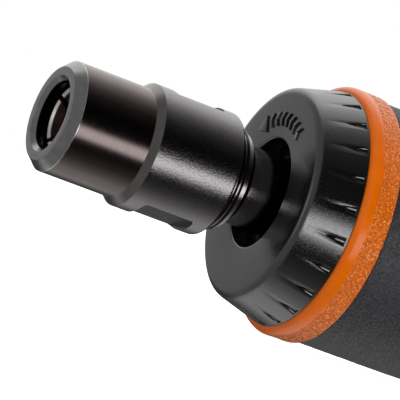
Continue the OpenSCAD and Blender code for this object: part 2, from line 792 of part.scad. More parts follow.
module inlet_bushing() {
    hex_chamfer = 1;
    corner_r = inlet_flats / sqrt(3);
    color("#8c8f93") difference() {
        union() {
            bar(rear_x1 - spigot_length, rear_x1 + over, spigot_r);
            bar(rear_x1, hex_x0 + over, barrel_r);
            intersection() {
                translate([hex_x0, 0, 0]) rotate([0, 90, 0])
                    cylinder(h = inlet_length, r = corner_r, $fn = 6);
                turned([[0, hex_x0], [corner_r - hex_chamfer, hex_x0], [corner_r, hex_x0 + hex_chamfer],
                    [corner_r, hex_x1 - hex_chamfer], [corner_r - hex_chamfer, hex_x1], [0, hex_x1]]);
            }
        }
        bar(hex_x0, hex_x1 + over, inlet_r);
        bar(hex_x0 - screen_flange_t - 0.1, hex_x0 + over, inlet_r - 0.3);
        bar(rear_x1 - spigot_length - over, hex_x0, passage_r);
    }
}

module inlet_seal() {
    color("#111111") hoop(rear_x1 - spigot_length - 0.5, spigot_r - 0.8, 0.45);
}

module inlet_screen() {
    screen_r = passage_r - 0.2;
    screen_wall = 0.4;
    x0 = rear_x1 + 2;
    x1 = hex_x0 - screen_flange_t;
    color("#b08d3f") turned([[0, x0], [screen_r, x0], [screen_r, x1], [inlet_r - 0.4, x1],
        [inlet_r - 0.4, hex_x0], [screen_r - screen_wall, hex_x0], [screen_r - screen_wall, x0 + screen_wall],
        [0, x0 + screen_wall]]);
}

module muffler() {
    color("#6f6a5e") sleeve(rear_x1 + 1, deflector_x1 - deflector_wall - 0.5, barrel_r + seat,
        deflector_r - deflector_wall - 0.6);
}

module exhaust_deflector() {
    round_r = 1.4;
    slots = 7;
    slot_step = 15;
    slot_w = 2.2;
    slot_x0 = deflector_x0 + 3;
    inner = deflector_r - deflector_wall;
    color("#1d1d1f") difference() {
        turned(concat(
            [[inner, deflector_x0], [deflector_r - 0.5, deflector_x0], [deflector_r, deflector_x0 + 0.5]],
            arc(deflector_r - round_r, deflector_x1 - round_r, round_r, 0, 90),
            [[barrel_r + 2 * run_fit, deflector_x1], [barrel_r + 2 * run_fit, deflector_x1 - deflector_wall],
                [inner, deflector_x1 - deflector_wall]]));
        for (i = [0:slots - 1]) rotate([180 + (i - (slots - 1) / 2) * slot_step, 0, 0])
            translate([slot_x0, -slot_w / 2, inner - over])
                cube([deflector_length - 6, slot_w, deflector_wall + 2 * over]);
    }
}

collet_nut();
collet();
spindle();
front_cap();
bearing_retainer();
spindle_seal();
front_bearing_outer();
front_bearing_inner();
front_bearing_balls();
front_bearing_cage();
wave_washer();
front_end_plate();
cylinder_liner();  // cylinder
rotor();
vane(1);  // vane_1
vane(2);  // vane_2
vane(3);  // vane_3
vane(4);  // vane_4
vane(5);  // vane_5
rear_end_plate();
rear_bearing_outer();
rear_bearing_inner();
rear_bearing_balls();
rear_bearing_cage();
dowel_pin();
gasket();
housing();
grip();
bumper_ring();
throttle_lever();
lever_pin();
safety_latch();
latch_pin();
latch_spring();
valve_bush();
stem_seal();
valve_stem();
poppet_seal();
valve_spring();
regulator();
regulator_seal();
regulator_clip();
inlet_bushing();
inlet_seal();
inlet_screen();
muffler();
exhaust_deflector();
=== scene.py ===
"""A straight pneumatic die grinder, built piece by piece around its CAD frame."""
import json
import math

import bpy
from mathutils import Matrix, Vector


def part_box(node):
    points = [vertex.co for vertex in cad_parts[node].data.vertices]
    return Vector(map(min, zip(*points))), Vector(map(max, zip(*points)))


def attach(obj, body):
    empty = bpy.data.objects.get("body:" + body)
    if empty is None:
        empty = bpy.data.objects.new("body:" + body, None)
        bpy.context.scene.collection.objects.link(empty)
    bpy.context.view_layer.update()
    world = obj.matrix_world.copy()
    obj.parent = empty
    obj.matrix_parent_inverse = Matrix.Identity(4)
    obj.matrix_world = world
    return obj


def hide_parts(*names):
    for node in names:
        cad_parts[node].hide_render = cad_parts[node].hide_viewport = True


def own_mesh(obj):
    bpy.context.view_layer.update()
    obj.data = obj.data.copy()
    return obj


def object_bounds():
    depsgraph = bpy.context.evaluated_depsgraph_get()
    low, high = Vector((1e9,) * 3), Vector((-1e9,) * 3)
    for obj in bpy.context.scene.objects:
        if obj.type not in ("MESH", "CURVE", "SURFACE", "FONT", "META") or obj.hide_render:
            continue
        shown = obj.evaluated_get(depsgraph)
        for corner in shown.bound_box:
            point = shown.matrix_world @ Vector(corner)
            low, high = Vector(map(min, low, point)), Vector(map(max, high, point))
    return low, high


bl_info = {
    "name": "Die Grinder",
    "version": (1, 0, 0),
    "blender": (4, 5, 0),
    "location": "View3D > Sidebar > Die Grinder",
    "description": "Builds a pneumatic die grinder with its finishes and a plain studio",
    "category": "Object",
}

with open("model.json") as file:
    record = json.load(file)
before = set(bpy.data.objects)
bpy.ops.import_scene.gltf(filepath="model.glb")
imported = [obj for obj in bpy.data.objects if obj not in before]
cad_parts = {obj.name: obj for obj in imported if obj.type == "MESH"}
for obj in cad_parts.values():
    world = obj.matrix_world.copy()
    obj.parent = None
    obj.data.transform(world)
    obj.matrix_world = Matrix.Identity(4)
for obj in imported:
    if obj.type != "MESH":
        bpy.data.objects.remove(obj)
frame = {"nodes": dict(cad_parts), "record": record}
CAD_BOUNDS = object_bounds()
RECORD = frame["record"]
BODY_OF = {node: body for body, nodes in RECORD["behaviour"]["bodies"].items() for node in nodes}
SLOT_OF = {row["node"]: row["material_slot"] for row in RECORD["subparts"]}
MM = 0.001
TURN = 2 * math.pi
# inner radius of the bumper ring and the grip, in millimetres
SLEEVE_INNER = 17.65
# two meshes' points closer than this are one, in millimetres
WELD = 0.001
# how far a mark's foot is sunk into the cap's face, in millimetres
MARK_ROOT = 0.2
# the range that a noise hardly leaves
NOISE_LOW, NOISE_HIGH = 0.3, 0.7
# settings of a node that mixes two colours, and which of its outputs holds the result
MIXED = {"data_type": "RGBA", "output": 2}


def linear(hex_colour):
    """Turns an sRGB hex colour to linear red, green and blue."""
    parts = [int(hex_colour[i:i + 2], 16) / 255 for i in (1, 3, 5)]
    return tuple(c / 12.92 if c <= 0.04045 else ((c + 0.055) / 1.055) ** 2.4 for c in parts)


def length(name, description, mm):
    """A length property whose default is given in millimetres."""
    return bpy.props.FloatProperty(
        name=name, description=description, default=mm * MM, precision=5, subtype="DISTANCE", unit="LENGTH")


def rotation(name, description, degrees):
    """An angle property whose default is given in degrees."""
    return bpy.props.FloatProperty(
        name=name, description=description, default=math.radians(degrees), subtype="ANGLE", unit="ROTATION")


def strength(name, description, default, **settings):
    """A brightness or power property, which is never negative."""
    return bpy.props.FloatProperty(name=name, description=description, default=default, min=0, **settings)


def colour(name, description, hex_colour):
    """A colour property whose default is an sRGB hex value."""
    return bpy.props.FloatVectorProperty(
        name=name, description=description, default=linear(hex_colour), size=3, min=0, max=1, subtype="COLOR")


def station(node, end):
    """Where a CAD node starts (0) or ends (1) along the spindle, in millimetres."""
    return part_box(node)[end].x / MM


def outer_radius(node):
    """The largest radius of a CAD node about the spindle, in millimetres."""
    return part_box(node)[1].y / MM


class NutSizes(bpy.types.PropertyGroup):
    """Sizes of the collet nut and collet."""
    face_radius: length("Face radius", "Radius of the flat front face", 7.2)
    front_radius: length("Front radius", "Radius of the turned front half", 8.5)
    step_station: length("Step station", "Where the bevelled step starts", 10.75)
    step_length: length("Step length", "Length of the bevelled step", 1.05)
    nose_length: length("Nose length", "Length of the nose chamfer", 1.45)
    mouth_radius: length("Mouth radius", "Radius of the mouth", 5.2)
    mouth_chamfer: length("Mouth chamfer", "Width of the chamfer round the mouth", 0.65)
    countersink: length("Countersink", "Depth of the collet's conical mouth", 1.2)
    tail_round: length("Tail rounding", "Rounding of the rear edge", 1.6)
    flat_half: length("Half across flats", "Distance of each wrench flat from the axis", 8.5)
    flat_length: length("Flat length", "Length of each wrench flat", 8.4)
    flat_tail: length("Flat tail", "Distance of the flats from the rear edge", 2.6)
    flat_turn: rotation("Flat turn", "Angle of the flats about the spindle", 11)
    slot_width: length("Slot width", "Width of the collet's slots", 0.9)
    slot_turn: rotation("Slot turn", "Angle of the first collet slot", 35)
    thread_pitch: length("Thread pitch", "Pitch of the thread on the spindle", 0.62)
    thread_crest: length("Thread crest", "Radius at the crest of the thread", 7.9)


class CapSizes(bpy.types.PropertyGroup):
    """Sizes of the front cap and the direction mark on it."""
    hole_radius: length("Hole radius", "Radius of the hole round the spindle", 8.5)
    face_radius: length("Face radius", "Radius of the cap at its face", 16.4)
    rear_radius: length("Rear radius", "Radius of the cap at its rear edge", 18.45)
    rounding: length("Rounding", "Rounding of the front edge", 1.5)
    notch_length: length("Notch length", "Length of each grip notch", 3.6)
    notch_width: length("Notch width", "Width of each notch", 1.4)
    notch_depth: length("Notch depth", "Depth of each notch", 0.45)
    notch_gap: length("Notch gap", "Distance of each notch from the rear edge", 0.3)
    notches: bpy.props.IntProperty(name="Notches", description="Number of grip notches", default=24, min=6)
    notch_turn: rotation("Notch turn", "Angle of the first notch", 8.2)
    mark_radius: length("Mark radius", "Radius of the circle that the direction mark follows", 11.5)
    mark_height: length("Mark height", "Height of the direction mark above the face", 0.3)
    mark_half: length("Mark half-height", "Half of the height of a chevron", 1.1)
    chevrons: bpy.props.IntProperty(name="Chevrons", description="Chevrons in the mark", default=7, min=1)
    mark_step: rotation("Mark step", "Angle between chevrons", 8.5)


class BodySizes(bpy.types.PropertyGroup):
    """Sizes of the bumper ring and grip."""
    lip_width: length("Lip width", "Width of the bumper's smooth front lip", 1.9)
    lip_round: length("Lip rounding", "Rounding of the bumper's front edge", 1.3)
    leather_cell: length("Leather cell", "Size of a cell of the bumper's grain", 0.62)
    leather_depth: length("Leather depth", "Depth of the bumper's grain", 0.13)
    pebble_cell: length("Pebble cell", "Size of a pebble of the grip's grain", 0.8)
    pebble_depth: length("Pebble depth", "Depth of the grip's grain", 0.07)
    waist: length("Waist", "Depth of the grip's waist", 0.5)


class GrinderColours(bpy.types.PropertyGroup):
    """Colours of the main finishes."""
    oxide: colour("Black oxide", "Blackened steel of the nut and spindle", "#676465")
    nylon: colour("Black nylon", "Moulded front cap", "#0F0F11")
    orange: colour("Orange rubber", "Bumper ring", "#F07000")
    rubber: colour("Black rubber", "Grip", "#29292C")
    housing: colour("Housing", "Rear housing", "#262628")
    floor: colour("Floor", "Studio floor", "#F4F4F4")


class StudioSettings(bpy.types.PropertyGroup):
    """Camera and light."""
    camera_place: bpy.props.FloatVectorProperty(
        name="Camera place", description="Where the camera stands", default=(-0.2661, -0.6548, -0.0042),
        size=3, subtype="TRANSLATION", unit="LENGTH")
    lens: bpy.props.FloatProperty(
        name="Lens", description="Focal length in millimetres", default=438.3, subtype="DISTANCE_CAMERA")
    world_light: strength("Surroundings", "Brightness of the white surroundings", 1.25)
    strip_light: strength("Strip", "Brightness of the low front strip", 4.4)
    nose_wall: strength("Nose wall", "Brightness of the grey wall that the nose faces", 0.42)
    nose_lamp: strength("Nose lamp", "Brightness of the wall straight ahead of the nose", 1.3)
    floor_glow: strength("Floor glow", "Light that the lit floor gives of itself", 0.9)
    key_light: strength("Key light", "Power of the overhead softbox", 4.0, unit="POWER")
    fill_light: strength("Fill light", "Power of the front fill", 2.4, unit="POWER")


# Modelling

def only(piece):
    """Selects one object alone and makes it active."""
    bpy.ops.object.select_all(action="DESELECT")
    piece.select_set(True)
    bpy.context.view_layer.objects.active = piece
    return piece


def rounded(corners, steps=4):
    """Rounds an outline. Each corner is a station, a radius and, where it is rounded, its fillet."""
    points = []
    for i, corner in enumerate(corners):
        here = Vector(corner[:2])
        if len(corner) < 3:
            points.append(here)
            continue
        back = Vector(corners[i - 1][:2]) - here
        ahead = Vector(corners[(i + 1) % len(corners)][:2]) - here
        reach = corner[2] / math.tan(back.angle(ahead) / 2)
        reach = min(reach, 0.48 * back.length, 0.48 * ahead.length)
        start, stop = here + back.normalized() * reach, here + ahead.normalized() * reach
        for k in range(steps + 1):
            t = k / steps
            points.append(start * (1 - t) ** 2 + here * 2 * t * (1 - t) + stop * t * t)
    return points


def drawn(name, outline):
    """Draws a closed outline of stations and radii above the spindle, and stays in edit mode."""
    bpy.ops.object.select_all(action="DESELECT")
    bpy.ops.mesh.primitive_plane_add(size=MM)
    piece = bpy.context.object
    piece.name = piece.data.name = name
    bpy.ops.object.mode_set(mode="EDIT")
    bpy.ops.mesh.select_mode(type="VERT")
    bpy.ops.mesh.select_all(action="SELECT")
    bpy.ops.mesh.merge(type="CENTER")
    path = [Vector((x, 0, r)) * MM for x, r in outline]
    bpy.ops.transform.translate(value=path[0])
    for here, there in zip(path, path[1:] + path[:1]):
        bpy.ops.mesh.extrude_vertices_move(TRANSFORM_OT_translate={"value": there - here})
    bpy.ops.mesh.select_all(action="SELECT")
    return piece


def turned(name, outline, steps=180):
    """Spins a closed outline of stations and radii, in millimetres, about the spindle axis."""
    piece = drawn(name, outline)
    bpy.ops.mesh.spin(steps=steps, angle=TURN, center=(0, 0, 0), axis=(1, 0, 0))
    tidy_mesh()
    return piece


def tidy_mesh():
    """Merges doubles, points the faces outwards and leaves edit mode."""
    bpy.ops.mesh.select_all(action="SELECT")
    bpy.ops.mesh.remove_doubles(threshold=WELD * MM)
    bpy.ops.mesh.normals_make_consistent(inside=False)
    bpy.ops.object.mode_set(mode="OBJECT")


def select_edges(piece, test):
    """Selects the edges of a piece in edit mode whose two ends pass a test of their places."""
    bpy.ops.mesh.select_mode(type="EDGE")
    bpy.ops.mesh.select_all(action="DESELECT")
    bpy.ops.object.mode_set(mode="OBJECT")
    places = [v.co.copy() for v in piece.data.vertices]
    for edge in piece.data.edges:
        edge.select = test(places[edge.vertices[0]], places[edge.vertices[1]])
    bpy.ops.object.mode_set(mode="EDIT")


def block(name, low, high, round_along=None, fillet=0.0, steps=6):
    """A box between two corners, in millimetres, with the edges along one axis rounded."""
    bpy.ops.object.select_all(action="DESELECT")
    low, high = Vector(low) * MM, Vector(high) * MM
    bpy.ops.mesh.primitive_cube_add(size=1)
    piece = bpy.context.object
    piece.name = piece.data.name = name
    bpy.ops.object.mode_set(mode="EDIT")
    bpy.ops.transform.resize(value=high - low)
    bpy.ops.transform.translate(value=(low + high) / 2)
    if fillet:
        axis = "XYZ".index(round_along)
        bpy.ops.object.mode_set(mode="OBJECT")
        bpy.ops.object.mode_set(mode="EDIT")
        others = [i for i in range(3) if i != axis]
        select_edges(piece, lambda a, b: all(abs(a[i] - b[i]) < 1e-7 for i in others))
        bpy.ops.mesh.bevel(offset=fillet * MM, segments=steps, affect="EDGES")
    tidy_mesh()
    return piece


def spun_copy(piece, angle, name):
    """A copy of a piece, with its own mesh, turned about the spindle axis."""
    copy = piece.copy()
    copy.data = piece.data.copy()
    copy.name = copy.data.name = name
    bpy.context.scene.collection.objects.link(copy)
    copy.data.transform(Matrix.Rotation(angle, 4, "X"))
    return copy


def joined(pieces, name):
    """Joins pieces into the first one."""
    only(pieces[0])
    for piece in pieces[1:]:
        piece.select_set(True)
    bpy.ops.object.join()
    pieces[0].name = pieces[0].data.name = name
    return pieces[0]


def cut(piece, cutter):
    """Cuts one piece with another, which is then removed."""
    only(piece)
    bite = piece.modifiers.new("cut", "BOOLEAN")
    bite.operation, bite.solver, bite.object = "DIFFERENCE", "EXACT", cutter
    bpy.ops.object.modifier_apply(modifier=bite.name)
    bpy.data.objects.remove(cutter)
    return piece


def soften(piece, width, angle=35, segments=2):
    """Bevels the sharp edges of a piece by a width in millimetres."""
    only(piece)
    edge = piece.modifiers.new("edge", "BEVEL")
    edge.width, edge.segments, edge.limit_method = width * MM, segments, "ANGLE"
    edge.angle_limit, edge.use_clamp_overlap = math.radians(angle), True
    bpy.ops.object.modifier_apply(modifier=edge.name)
    return piece


def grained(piece, low, high, inner, cell, depth):
    """Presses a cell pattern into the part of a surface between two stations and outside a radius."""
    only(piece)
    group = piece.vertex_groups.new(name="grain")
    fade = 0.4 * MM
    for vertex in piece.data.vertices:
        x, y, z = vertex.co
        if math.hypot(y, z) > inner * MM:
            weight = min((x - low * MM) / fade, (high * MM - x) / fade, 1)
            if weight > 0:
                group.add([vertex.index], weight, "REPLACE")
    pattern = bpy.data.textures.new(piece.name + "_grain", "VORONOI")
    pattern.noise_scale = cell
    relief = piece.modifiers.new("relief", "DISPLACE")
    relief.texture, relief.texture_coords = pattern, "LOCAL"
    relief.strength, relief.mid_level, relief.vertex_group = -depth, 0.0, group.name
    bpy.ops.object.modifier_apply(modifier=relief.name)
    return piece


def dressed_copy(node, bevel=0.0, angle=35):
    """A merged copy of a CAD node with its flat areas joined and its edges softened."""
    source = frame["nodes"][node]
    piece = source.copy()
    piece.data = source.data.copy()
    piece.parent = None
    piece.matrix_world = Matrix.Identity(4)
    for key in list(piece.keys()):
        if key.startswith("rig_"):
            del piece[key]
    piece.name = piece.data.name = node + "_shaped"
    bpy.context.scene.collection.objects.link(piece)
    only(piece)
    bpy.ops.object.mode_set(mode="EDIT")
    bpy.ops.mesh.select_all(action="SELECT")
    bpy.ops.mesh.remove_doubles(threshold=0.002 * MM)
    bpy.ops.mesh.dissolve_limited(angle_limit=math.radians(0.4))
    tidy_mesh()
    if bevel:
        soften(piece, bevel, angle)
    return piece


def settle(piece, node, material, sharp=30):
    """Smooths a finished piece, gives it its material and puts it in its CAD node's place."""
    only(piece)
    bpy.ops.object.shade_smooth_by_angle(angle=math.radians(sharp))
    piece.data.materials.clear()
    piece.data.materials.append(material)
    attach(piece, BODY_OF[node])
    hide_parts(node)
    return piece


# Materials

def add(tree, kind, inputs=None, output=0, **settings):
    """Adds a shader node and gives one of its outputs. An input is a value or another node's output."""
    made = tree.nodes.new("ShaderNode" + kind)
    for name, value in settings.items():
        setattr(made, name, value)
    for key, value in (inputs or {}).items():
        if isinstance(value, bpy.types.NodeSocket):
            tree.links.new(value, made.inputs[key])
        else:
            made.inputs[key].default_value = value
    return made.outputs[output] if made.outputs else made


def opaque(rgb):
    """A linear colour with its alpha."""
    return (rgb[0], rgb[1], rgb[2], 1)


def scaled(rgb, amount):
    """A linear colour made lighter or darker."""
    return tuple(min(1, c * amount) for c in rgb)


class Surface:
    """A material under construction: its shader, and its place in millimetres."""

    def __init__(self, name, metallic=0.0, ior=1.5, specular=0.5, roughness=0.5):
        self.material = bpy.data.materials.new(name)
        self.material.use_nodes = True
        self.tree = self.material.node_tree
        self.tree.nodes.clear()
        shaded = add(self.tree, "BsdfPrincipled", {
            "Metallic": metallic, "IOR": ior, "Specular IOR Level": specular, "Roughness": roughness})
        self.shader = shaded.node
        add(self.tree, "OutputMaterial", {"Surface": shaded})
        here = add(self.tree, "TexCoord", output="Object")
        self.place = add(self.tree, "VectorMath", {0: here, "Scale": 1 / MM}, operation="SCALE")

    def about_spindle(self):
        """The place along each axis, and the distance from the spindle's axis."""
        parts = add(self.tree, "SeparateXYZ", {0: self.place}).node.outputs
        radial = add(self.tree, "CombineXYZ", {"Y": parts["Y"], "Z": parts["Z"]})
        return parts, add(self.tree, "VectorMath", {0: radial}, "Value", operation="LENGTH")

    def grain(self, size, detail=2, stretch=(1, 1, 1)):
        """A grain of a size in millimetres, drawn out along an axis where its stretch is over 1."""
        place = add(self.tree, "Mapping", {
            "Vector": self.place, "Scale": tuple(1 / (size * longer) for longer in stretch)})
        return add(self.tree, "TexNoise", {"Vector": place, "Scale": 1, "Detail": detail, "Roughness": 0.5})

    def wander(self, size, dark, light, detail=3, stretch=(1, 1, 1)):
        """A shade that wanders between two colours, in patches of a size in millimetres."""
        patches = self.grain(size, detail, stretch)
        return add(self.tree, "Mix", {0: patches, 6: opaque(dark), 7: opaque(light)}, **MIXED)

    def dress(self, shade, roughness, normal):
        """Gives the shader its shade, roughness and relief, and the finished material back."""
        for name, value in (("Base Color", shade), ("Roughness", roughness), ("Normal", normal)):
            self.tree.links.new(value, self.shader.inputs[name])
        return self.material

    def dress_with_grain(self, shade, fine, smooth, rough, depth):
        """Dresses the shader where one grain varies the roughness and stands out by a depth."""
        roughness = add(self.tree, "MapRange", {
            "Value": fine, "From Min": NOISE_LOW, "From Max": NOISE_HIGH, "To Min": smooth, "To Max": rough})
        normal = add(self.tree, "Bump", {"Height": fine, "Distance": depth * MM, "Strength": 1})
        return self.dress(shade, roughness, normal)


def plain_finish(name, hex_colour, roughness, size, depth, metallic=0.0, mottle=6.0, contrast=0.25,
                 stretch=(1, 1, 1), spread=0.08):
    """A surface whose shade wanders and whose fine grain stands in relief."""
    rgb = linear(hex_colour)
    s = Surface(name, metallic)
    shade = s.wander(mottle, scaled(rgb, 1 - contrast), scaled(rgb, 1 + contrast))
    fine = s.grain(size, 3, stretch)
    return s.dress_with_grain(shade, fine, roughness - spread, roughness + spread, depth)


def turned_black_oxide(sizes, shades):
    """Blackened steel: the front half keeps its turning lines, the rear half is bead-blasted."""
    s = Surface("turned_black_oxide_steel", metallic=1.0)
    tree = s.tree
    parts, radius = s.about_spindle()
    oxide, warm = tuple(shades.oxide), linear("#544B4A")
    bevel_length = sizes.step_length / MM
    bevel_start, bevel_end = sizes.step_station / MM, sizes.step_station / MM + bevel_length
    nose_end = station("collet_nut", 0) + sizes.nose_length / MM
    bore = sizes.mouth_radius / MM
    # turning lines 0.1 mm apart, which run round the nut and break up along their length
    outward = add(tree, "Math", {0: parts["X"], 1: radius})
    wound = add(tree, "CombineXYZ", {"X": outward, "Y": parts["Y"], "Z": parts["Z"]})
    lines_at = add(tree, "Mapping", {"Vector": wound, "Scale": (10, 0.5, 0.5)})
    lines = add(tree, "TexNoise", {"Vector": lines_at, "Scale": 1, "Detail": 2, "Roughness": 0.6})
    # bead-blasted pits of 0.2 mm, drawn coarser than real so that they sparkle
    pits = s.grain(0.2, 1)
    blasted = add(tree, "MapRange", {
        "Value": parts["X"], "From Min": bevel_end - 0.1, "From Max": bevel_end + 0.1})
    shade = add(tree, "Mix", {
        0: blasted, 6: s.wander(5, scaled(warm, 0.85), scaled(warm, 1.2)),
        7: s.wander(5, scaled(oxide, 0.85), scaled(oxide, 1.15))}, **MIXED)
    # the face, nose and step are brushed by use to a mottled grey, painted lighter than the oxide as a
    # painted highlight for the light these faces catch
    from_middle = add(tree, "Math", {0: parts["X"], 1: bevel_start + bevel_length / 2}, operation="SUBTRACT")
    off_bevel = add(tree, "Math", {0: from_middle}, operation="ABSOLUTE")
    bevel = add(tree, "MapRange", {
        "Value": off_bevel, "From Min": bevel_length / 2 - 0.05, "From Max": bevel_length / 2 + 0.05,
        "To Min": 0.4, "To Max": 0})
    nose = add(tree, "MapRange", {
        "Value": parts["X"], "From Min": nose_end - 0.05, "From Max": nose_end + 0.05,
        "To Min": 1, "To Max": 0})
    brushed_and_lit = add(tree, "Math", {0: nose, 1: bevel}, operation="MAXIMUM")
    grey = s.wander(0.9, linear("#6E6E6E"), linear("#8E8D8D"), 3, (1, 3, 1))
    shade = add(tree, "Mix", {0: brushed_and_lit, 6: shade, 7: grey}, **MIXED)
    # the bore is painted near black, a painted shade for its deep recess
    inside = add(tree, "MapRange", {
        "Value": radius, "From Min": bore + 0.02, "From Max": bore + 0.08, "To Min": 1, "To Max": 0})
    shade = add(tree, "Mix", {0: inside, 6: shade, 7: opaque(linear("#0C0B0B"))}, **MIXED)
    # along the nose's edge the black is painted back to bright steel in patches, partly wear from handling
    # and partly a painted highlight along the edge
    from_edge = add(tree, "Math", {0: parts["X"], 1: nose_end}, operation="SUBTRACT")
    off_edge = add(tree, "Math", {0: from_edge}, operation="ABSOLUTE")
    edge = add(tree, "MapRange", {
        "Value": off_edge, "From Min": 0.03, "From Max": 0.11, "To Min": 1, "To Max": 0})
    patches = add(tree, "MapRange", {
        "Value": s.grain(0.7), "From Min": 0.35, "From Max": 0.65, "To Min": 0.2, "To Max": 1.1})
    wear_and_highlight = add(tree, "Math", {0: edge, 1: patches}, operation="MULTIPLY")
    shade = add(tree, "Mix", {0: wear_and_highlight, 6: shade, 7: opaque(scaled(oxide, 3.2))}, **MIXED)
    line_rough = add(tree, "MapRange", {
        "Value": lines, "From Min": NOISE_LOW, "From Max": NOISE_HIGH, "To Min": 0.13, "To Max": 0.25})
    pit_rough = add(tree, "MapRange", {
        "Value": pits, "From Min": NOISE_LOW, "From Max": NOISE_HIGH, "To Min": 0.18, "To Max": 0.3})
    roughness = add(tree, "Mix", {0: blasted, 2: line_rough, 3: pit_rough})
    line_height = add(tree, "Math", {0: lines, 1: 0.1}, operation="MULTIPLY")
    pit_height = add(tree, "Math", {0: pits, 1: 0.7}, operation="MULTIPLY")
    height = add(tree, "Mix", {0: blasted, 2: line_height, 3: pit_height})
    normal = add(tree, "Bump", {"Height": height, "Distance": 0.03 * MM, "Strength": 1})
    return s.dress(shade, roughness, normal)


def leather_grain_rubber(shades, sizes):
    """Orange moulded rubber: a glossy skin whose leather grain breaks the light into specks, with painted
    glints on the tops of its wrinkles and painted shade in its creases.
    """
    # the IOR is below rubber's usual 1.5, whose stronger gloss pales the orange in white surroundings
    s = Surface("orange_leather_grain_rubber", ior=1.33)
    tree, orange = s.tree, tuple(shades.orange)
    along = add(tree, "SeparateXYZ", {0: s.place}, "X")
    lip = station("bumper_ring", 0) + sizes.lip_width / MM
    band = add(tree, "MapRange", {"Value": along, "From Min": lip - 0.2, "From Max": lip + 0.2})
    fine, wrinkles = s.grain(0.2), s.grain(0.38, 1)
    # creases between cells of hide 0.7 mm across, which fade out on the smooth lip
    to_edge = add(tree, "TexVoronoi", {"Vector": s.place, "Scale": 1 / 0.7}, "Distance",
                  feature="DISTANCE_TO_EDGE")
    creases = add(tree, "MapRange", {
        "Value": to_edge, "From Min": 0.02, "From Max": 0.2, "To Min": 1, "To Max": 0})
    crease = add(tree, "Math", {0: creases, 1: band}, operation="MULTIPLY")
    # the tops of the wrinkles in the grained band are painted pale: painted glints
    painted_highlight_tops = add(tree, "MapRange", {
        "Value": wrinkles, "From Min": 0.57, "From Max": 0.67, "To Min": 0, "To Max": 0.55})
    painted_glints = add(tree, "Math", {0: painted_highlight_tops, 1: band}, operation="MULTIPLY")
    shade = s.wander(2.5, scaled(orange, 0.82), scaled(orange, 1.04))
    # the creases are painted darker: painted shade in the creases
    shaded = add(tree, "Math", {0: crease, 1: 0.6}, operation="MULTIPLY")
    shade = add(tree, "Mix", {0: shaded, 6: shade, 7: opaque(scaled(orange, 0.7))}, **MIXED)
    shade = add(tree, "Mix", {0: painted_glints, 6: shade, 7: opaque(linear("#FFB468"))}, **MIXED)
    roughness = add(tree, "MapRange", {
        "Value": fine, "From Min": NOISE_LOW, "From Max": NOISE_HIGH, "To Min": 0.1, "To Max": 0.26})
    height = add(tree, "Math", {0: band, 1: wrinkles}, operation="MULTIPLY")
    wrinkled = add(tree, "Bump", {"Height": height, "Distance": 0.2 * MM, "Strength": 1})
    normal = add(tree, "Bump", {"Height": crease, "Distance": -0.09 * MM, "Strength": 1, "Normal": wrinkled})
    return s.dress(shade, roughness, normal)


def pebbled_rubber(shades):
    """Black moulded rubber: small dull pebbles whose tops are painted paler, a painted sheen."""
    s = Surface("black_pebbled_rubber", ior=1.52)
    tree, rubber = s.tree, tuple(shades.rubber)
    grit = s.grain(0.28)
    pebbles = add(tree, "TexVoronoi", {"Vector": s.place, "Scale": 1 / 0.55, "Smoothness": 0.4}, "Distance",
                  feature="SMOOTH_F1")
    # the peaks of the grit are painted paler: a painted sheen
    painted_highlight_tops = add(tree, "MapRange", {"Value": grit, "From Min": 0.46, "From Max": 0.62})
    shade = add(tree, "Mix", {
        0: painted_highlight_tops, 6: opaque(scaled(rubber, 0.75)), 7: opaque(scaled(rubber, 1.9))}, **MIXED)
    roughness = add(tree, "MapRange", {
        "Value": grit, "From Min": NOISE_LOW, "From Max": NOISE_HIGH, "To Min": 0.72, "To Max": 0.5})
    pebbled = add(tree, "Bump", {"Height": pebbles, "Distance": -0.05 * MM, "Strength": 1})
    normal = add(tree, "Bump", {"Height": grit, "Distance": 0.05 * MM, "Strength": 1, "Normal": pebbled})
    return s.dress(shade, roughness, normal)


def satin_nylon(name, rgb, size, depth, roughness, specular=0.5):
    """Moulded glass-filled nylon: a satin skin with a fine sandy grain that shows in its highlights."""
    s = Surface(name, ior=1.53, specular=specular)
    shade = s.wander(7, scaled(rgb, 0.85), scaled(rgb, 1.15))
    return s.dress_with_grain(shade, s.grain(size), roughness - 0.07, roughness + 0.1, depth)


def ground_steel(name, hex_colour, roughness, stretch):
    """Ground steel: bright, with fine lines from the wheel and a soft wandering shade."""
    s = Surface(name, metallic=1.0)
    rgb = linear(hex_colour)
    shade = s.wander(3, scaled(rgb, 0.75), scaled(rgb, 1.15))
    return s.dress_with_grain(shade, s.grain(0.25, 3, stretch), roughness - 0.1, roughness + 0.1, 0.008)


def bright_collet_steel():
    """Ground collet steel: the rim of the mouth is bright, and the bore inside it is painted dark brown, a
    painted shade for the deep bore.
    """
    s = Surface("ground_collet_steel", metallic=1.0)
    rim_start, rim_full = 4.22, 4.4
    # inside the rim the bore is painted dark brown: painted shade
    painted_bore_shade = add(s.tree, "MapRange", {
        "Value": s.about_spindle()[1], "From Min": rim_start, "From Max": rim_full, "To Min": 1, "To Max": 0})
    steel = s.wander(1.6, linear("#B4B1AF"), linear("#E6E3E0"))
    shade = add(s.tree, "Mix", {0: painted_bore_shade, 6: steel, 7: opaque(linear("#241A14"))}, **MIXED)
    return s.dress_with_grain(shade, s.grain(0.25, 3, (0.4, 5, 5)), 0.24, 0.42, 0.01)


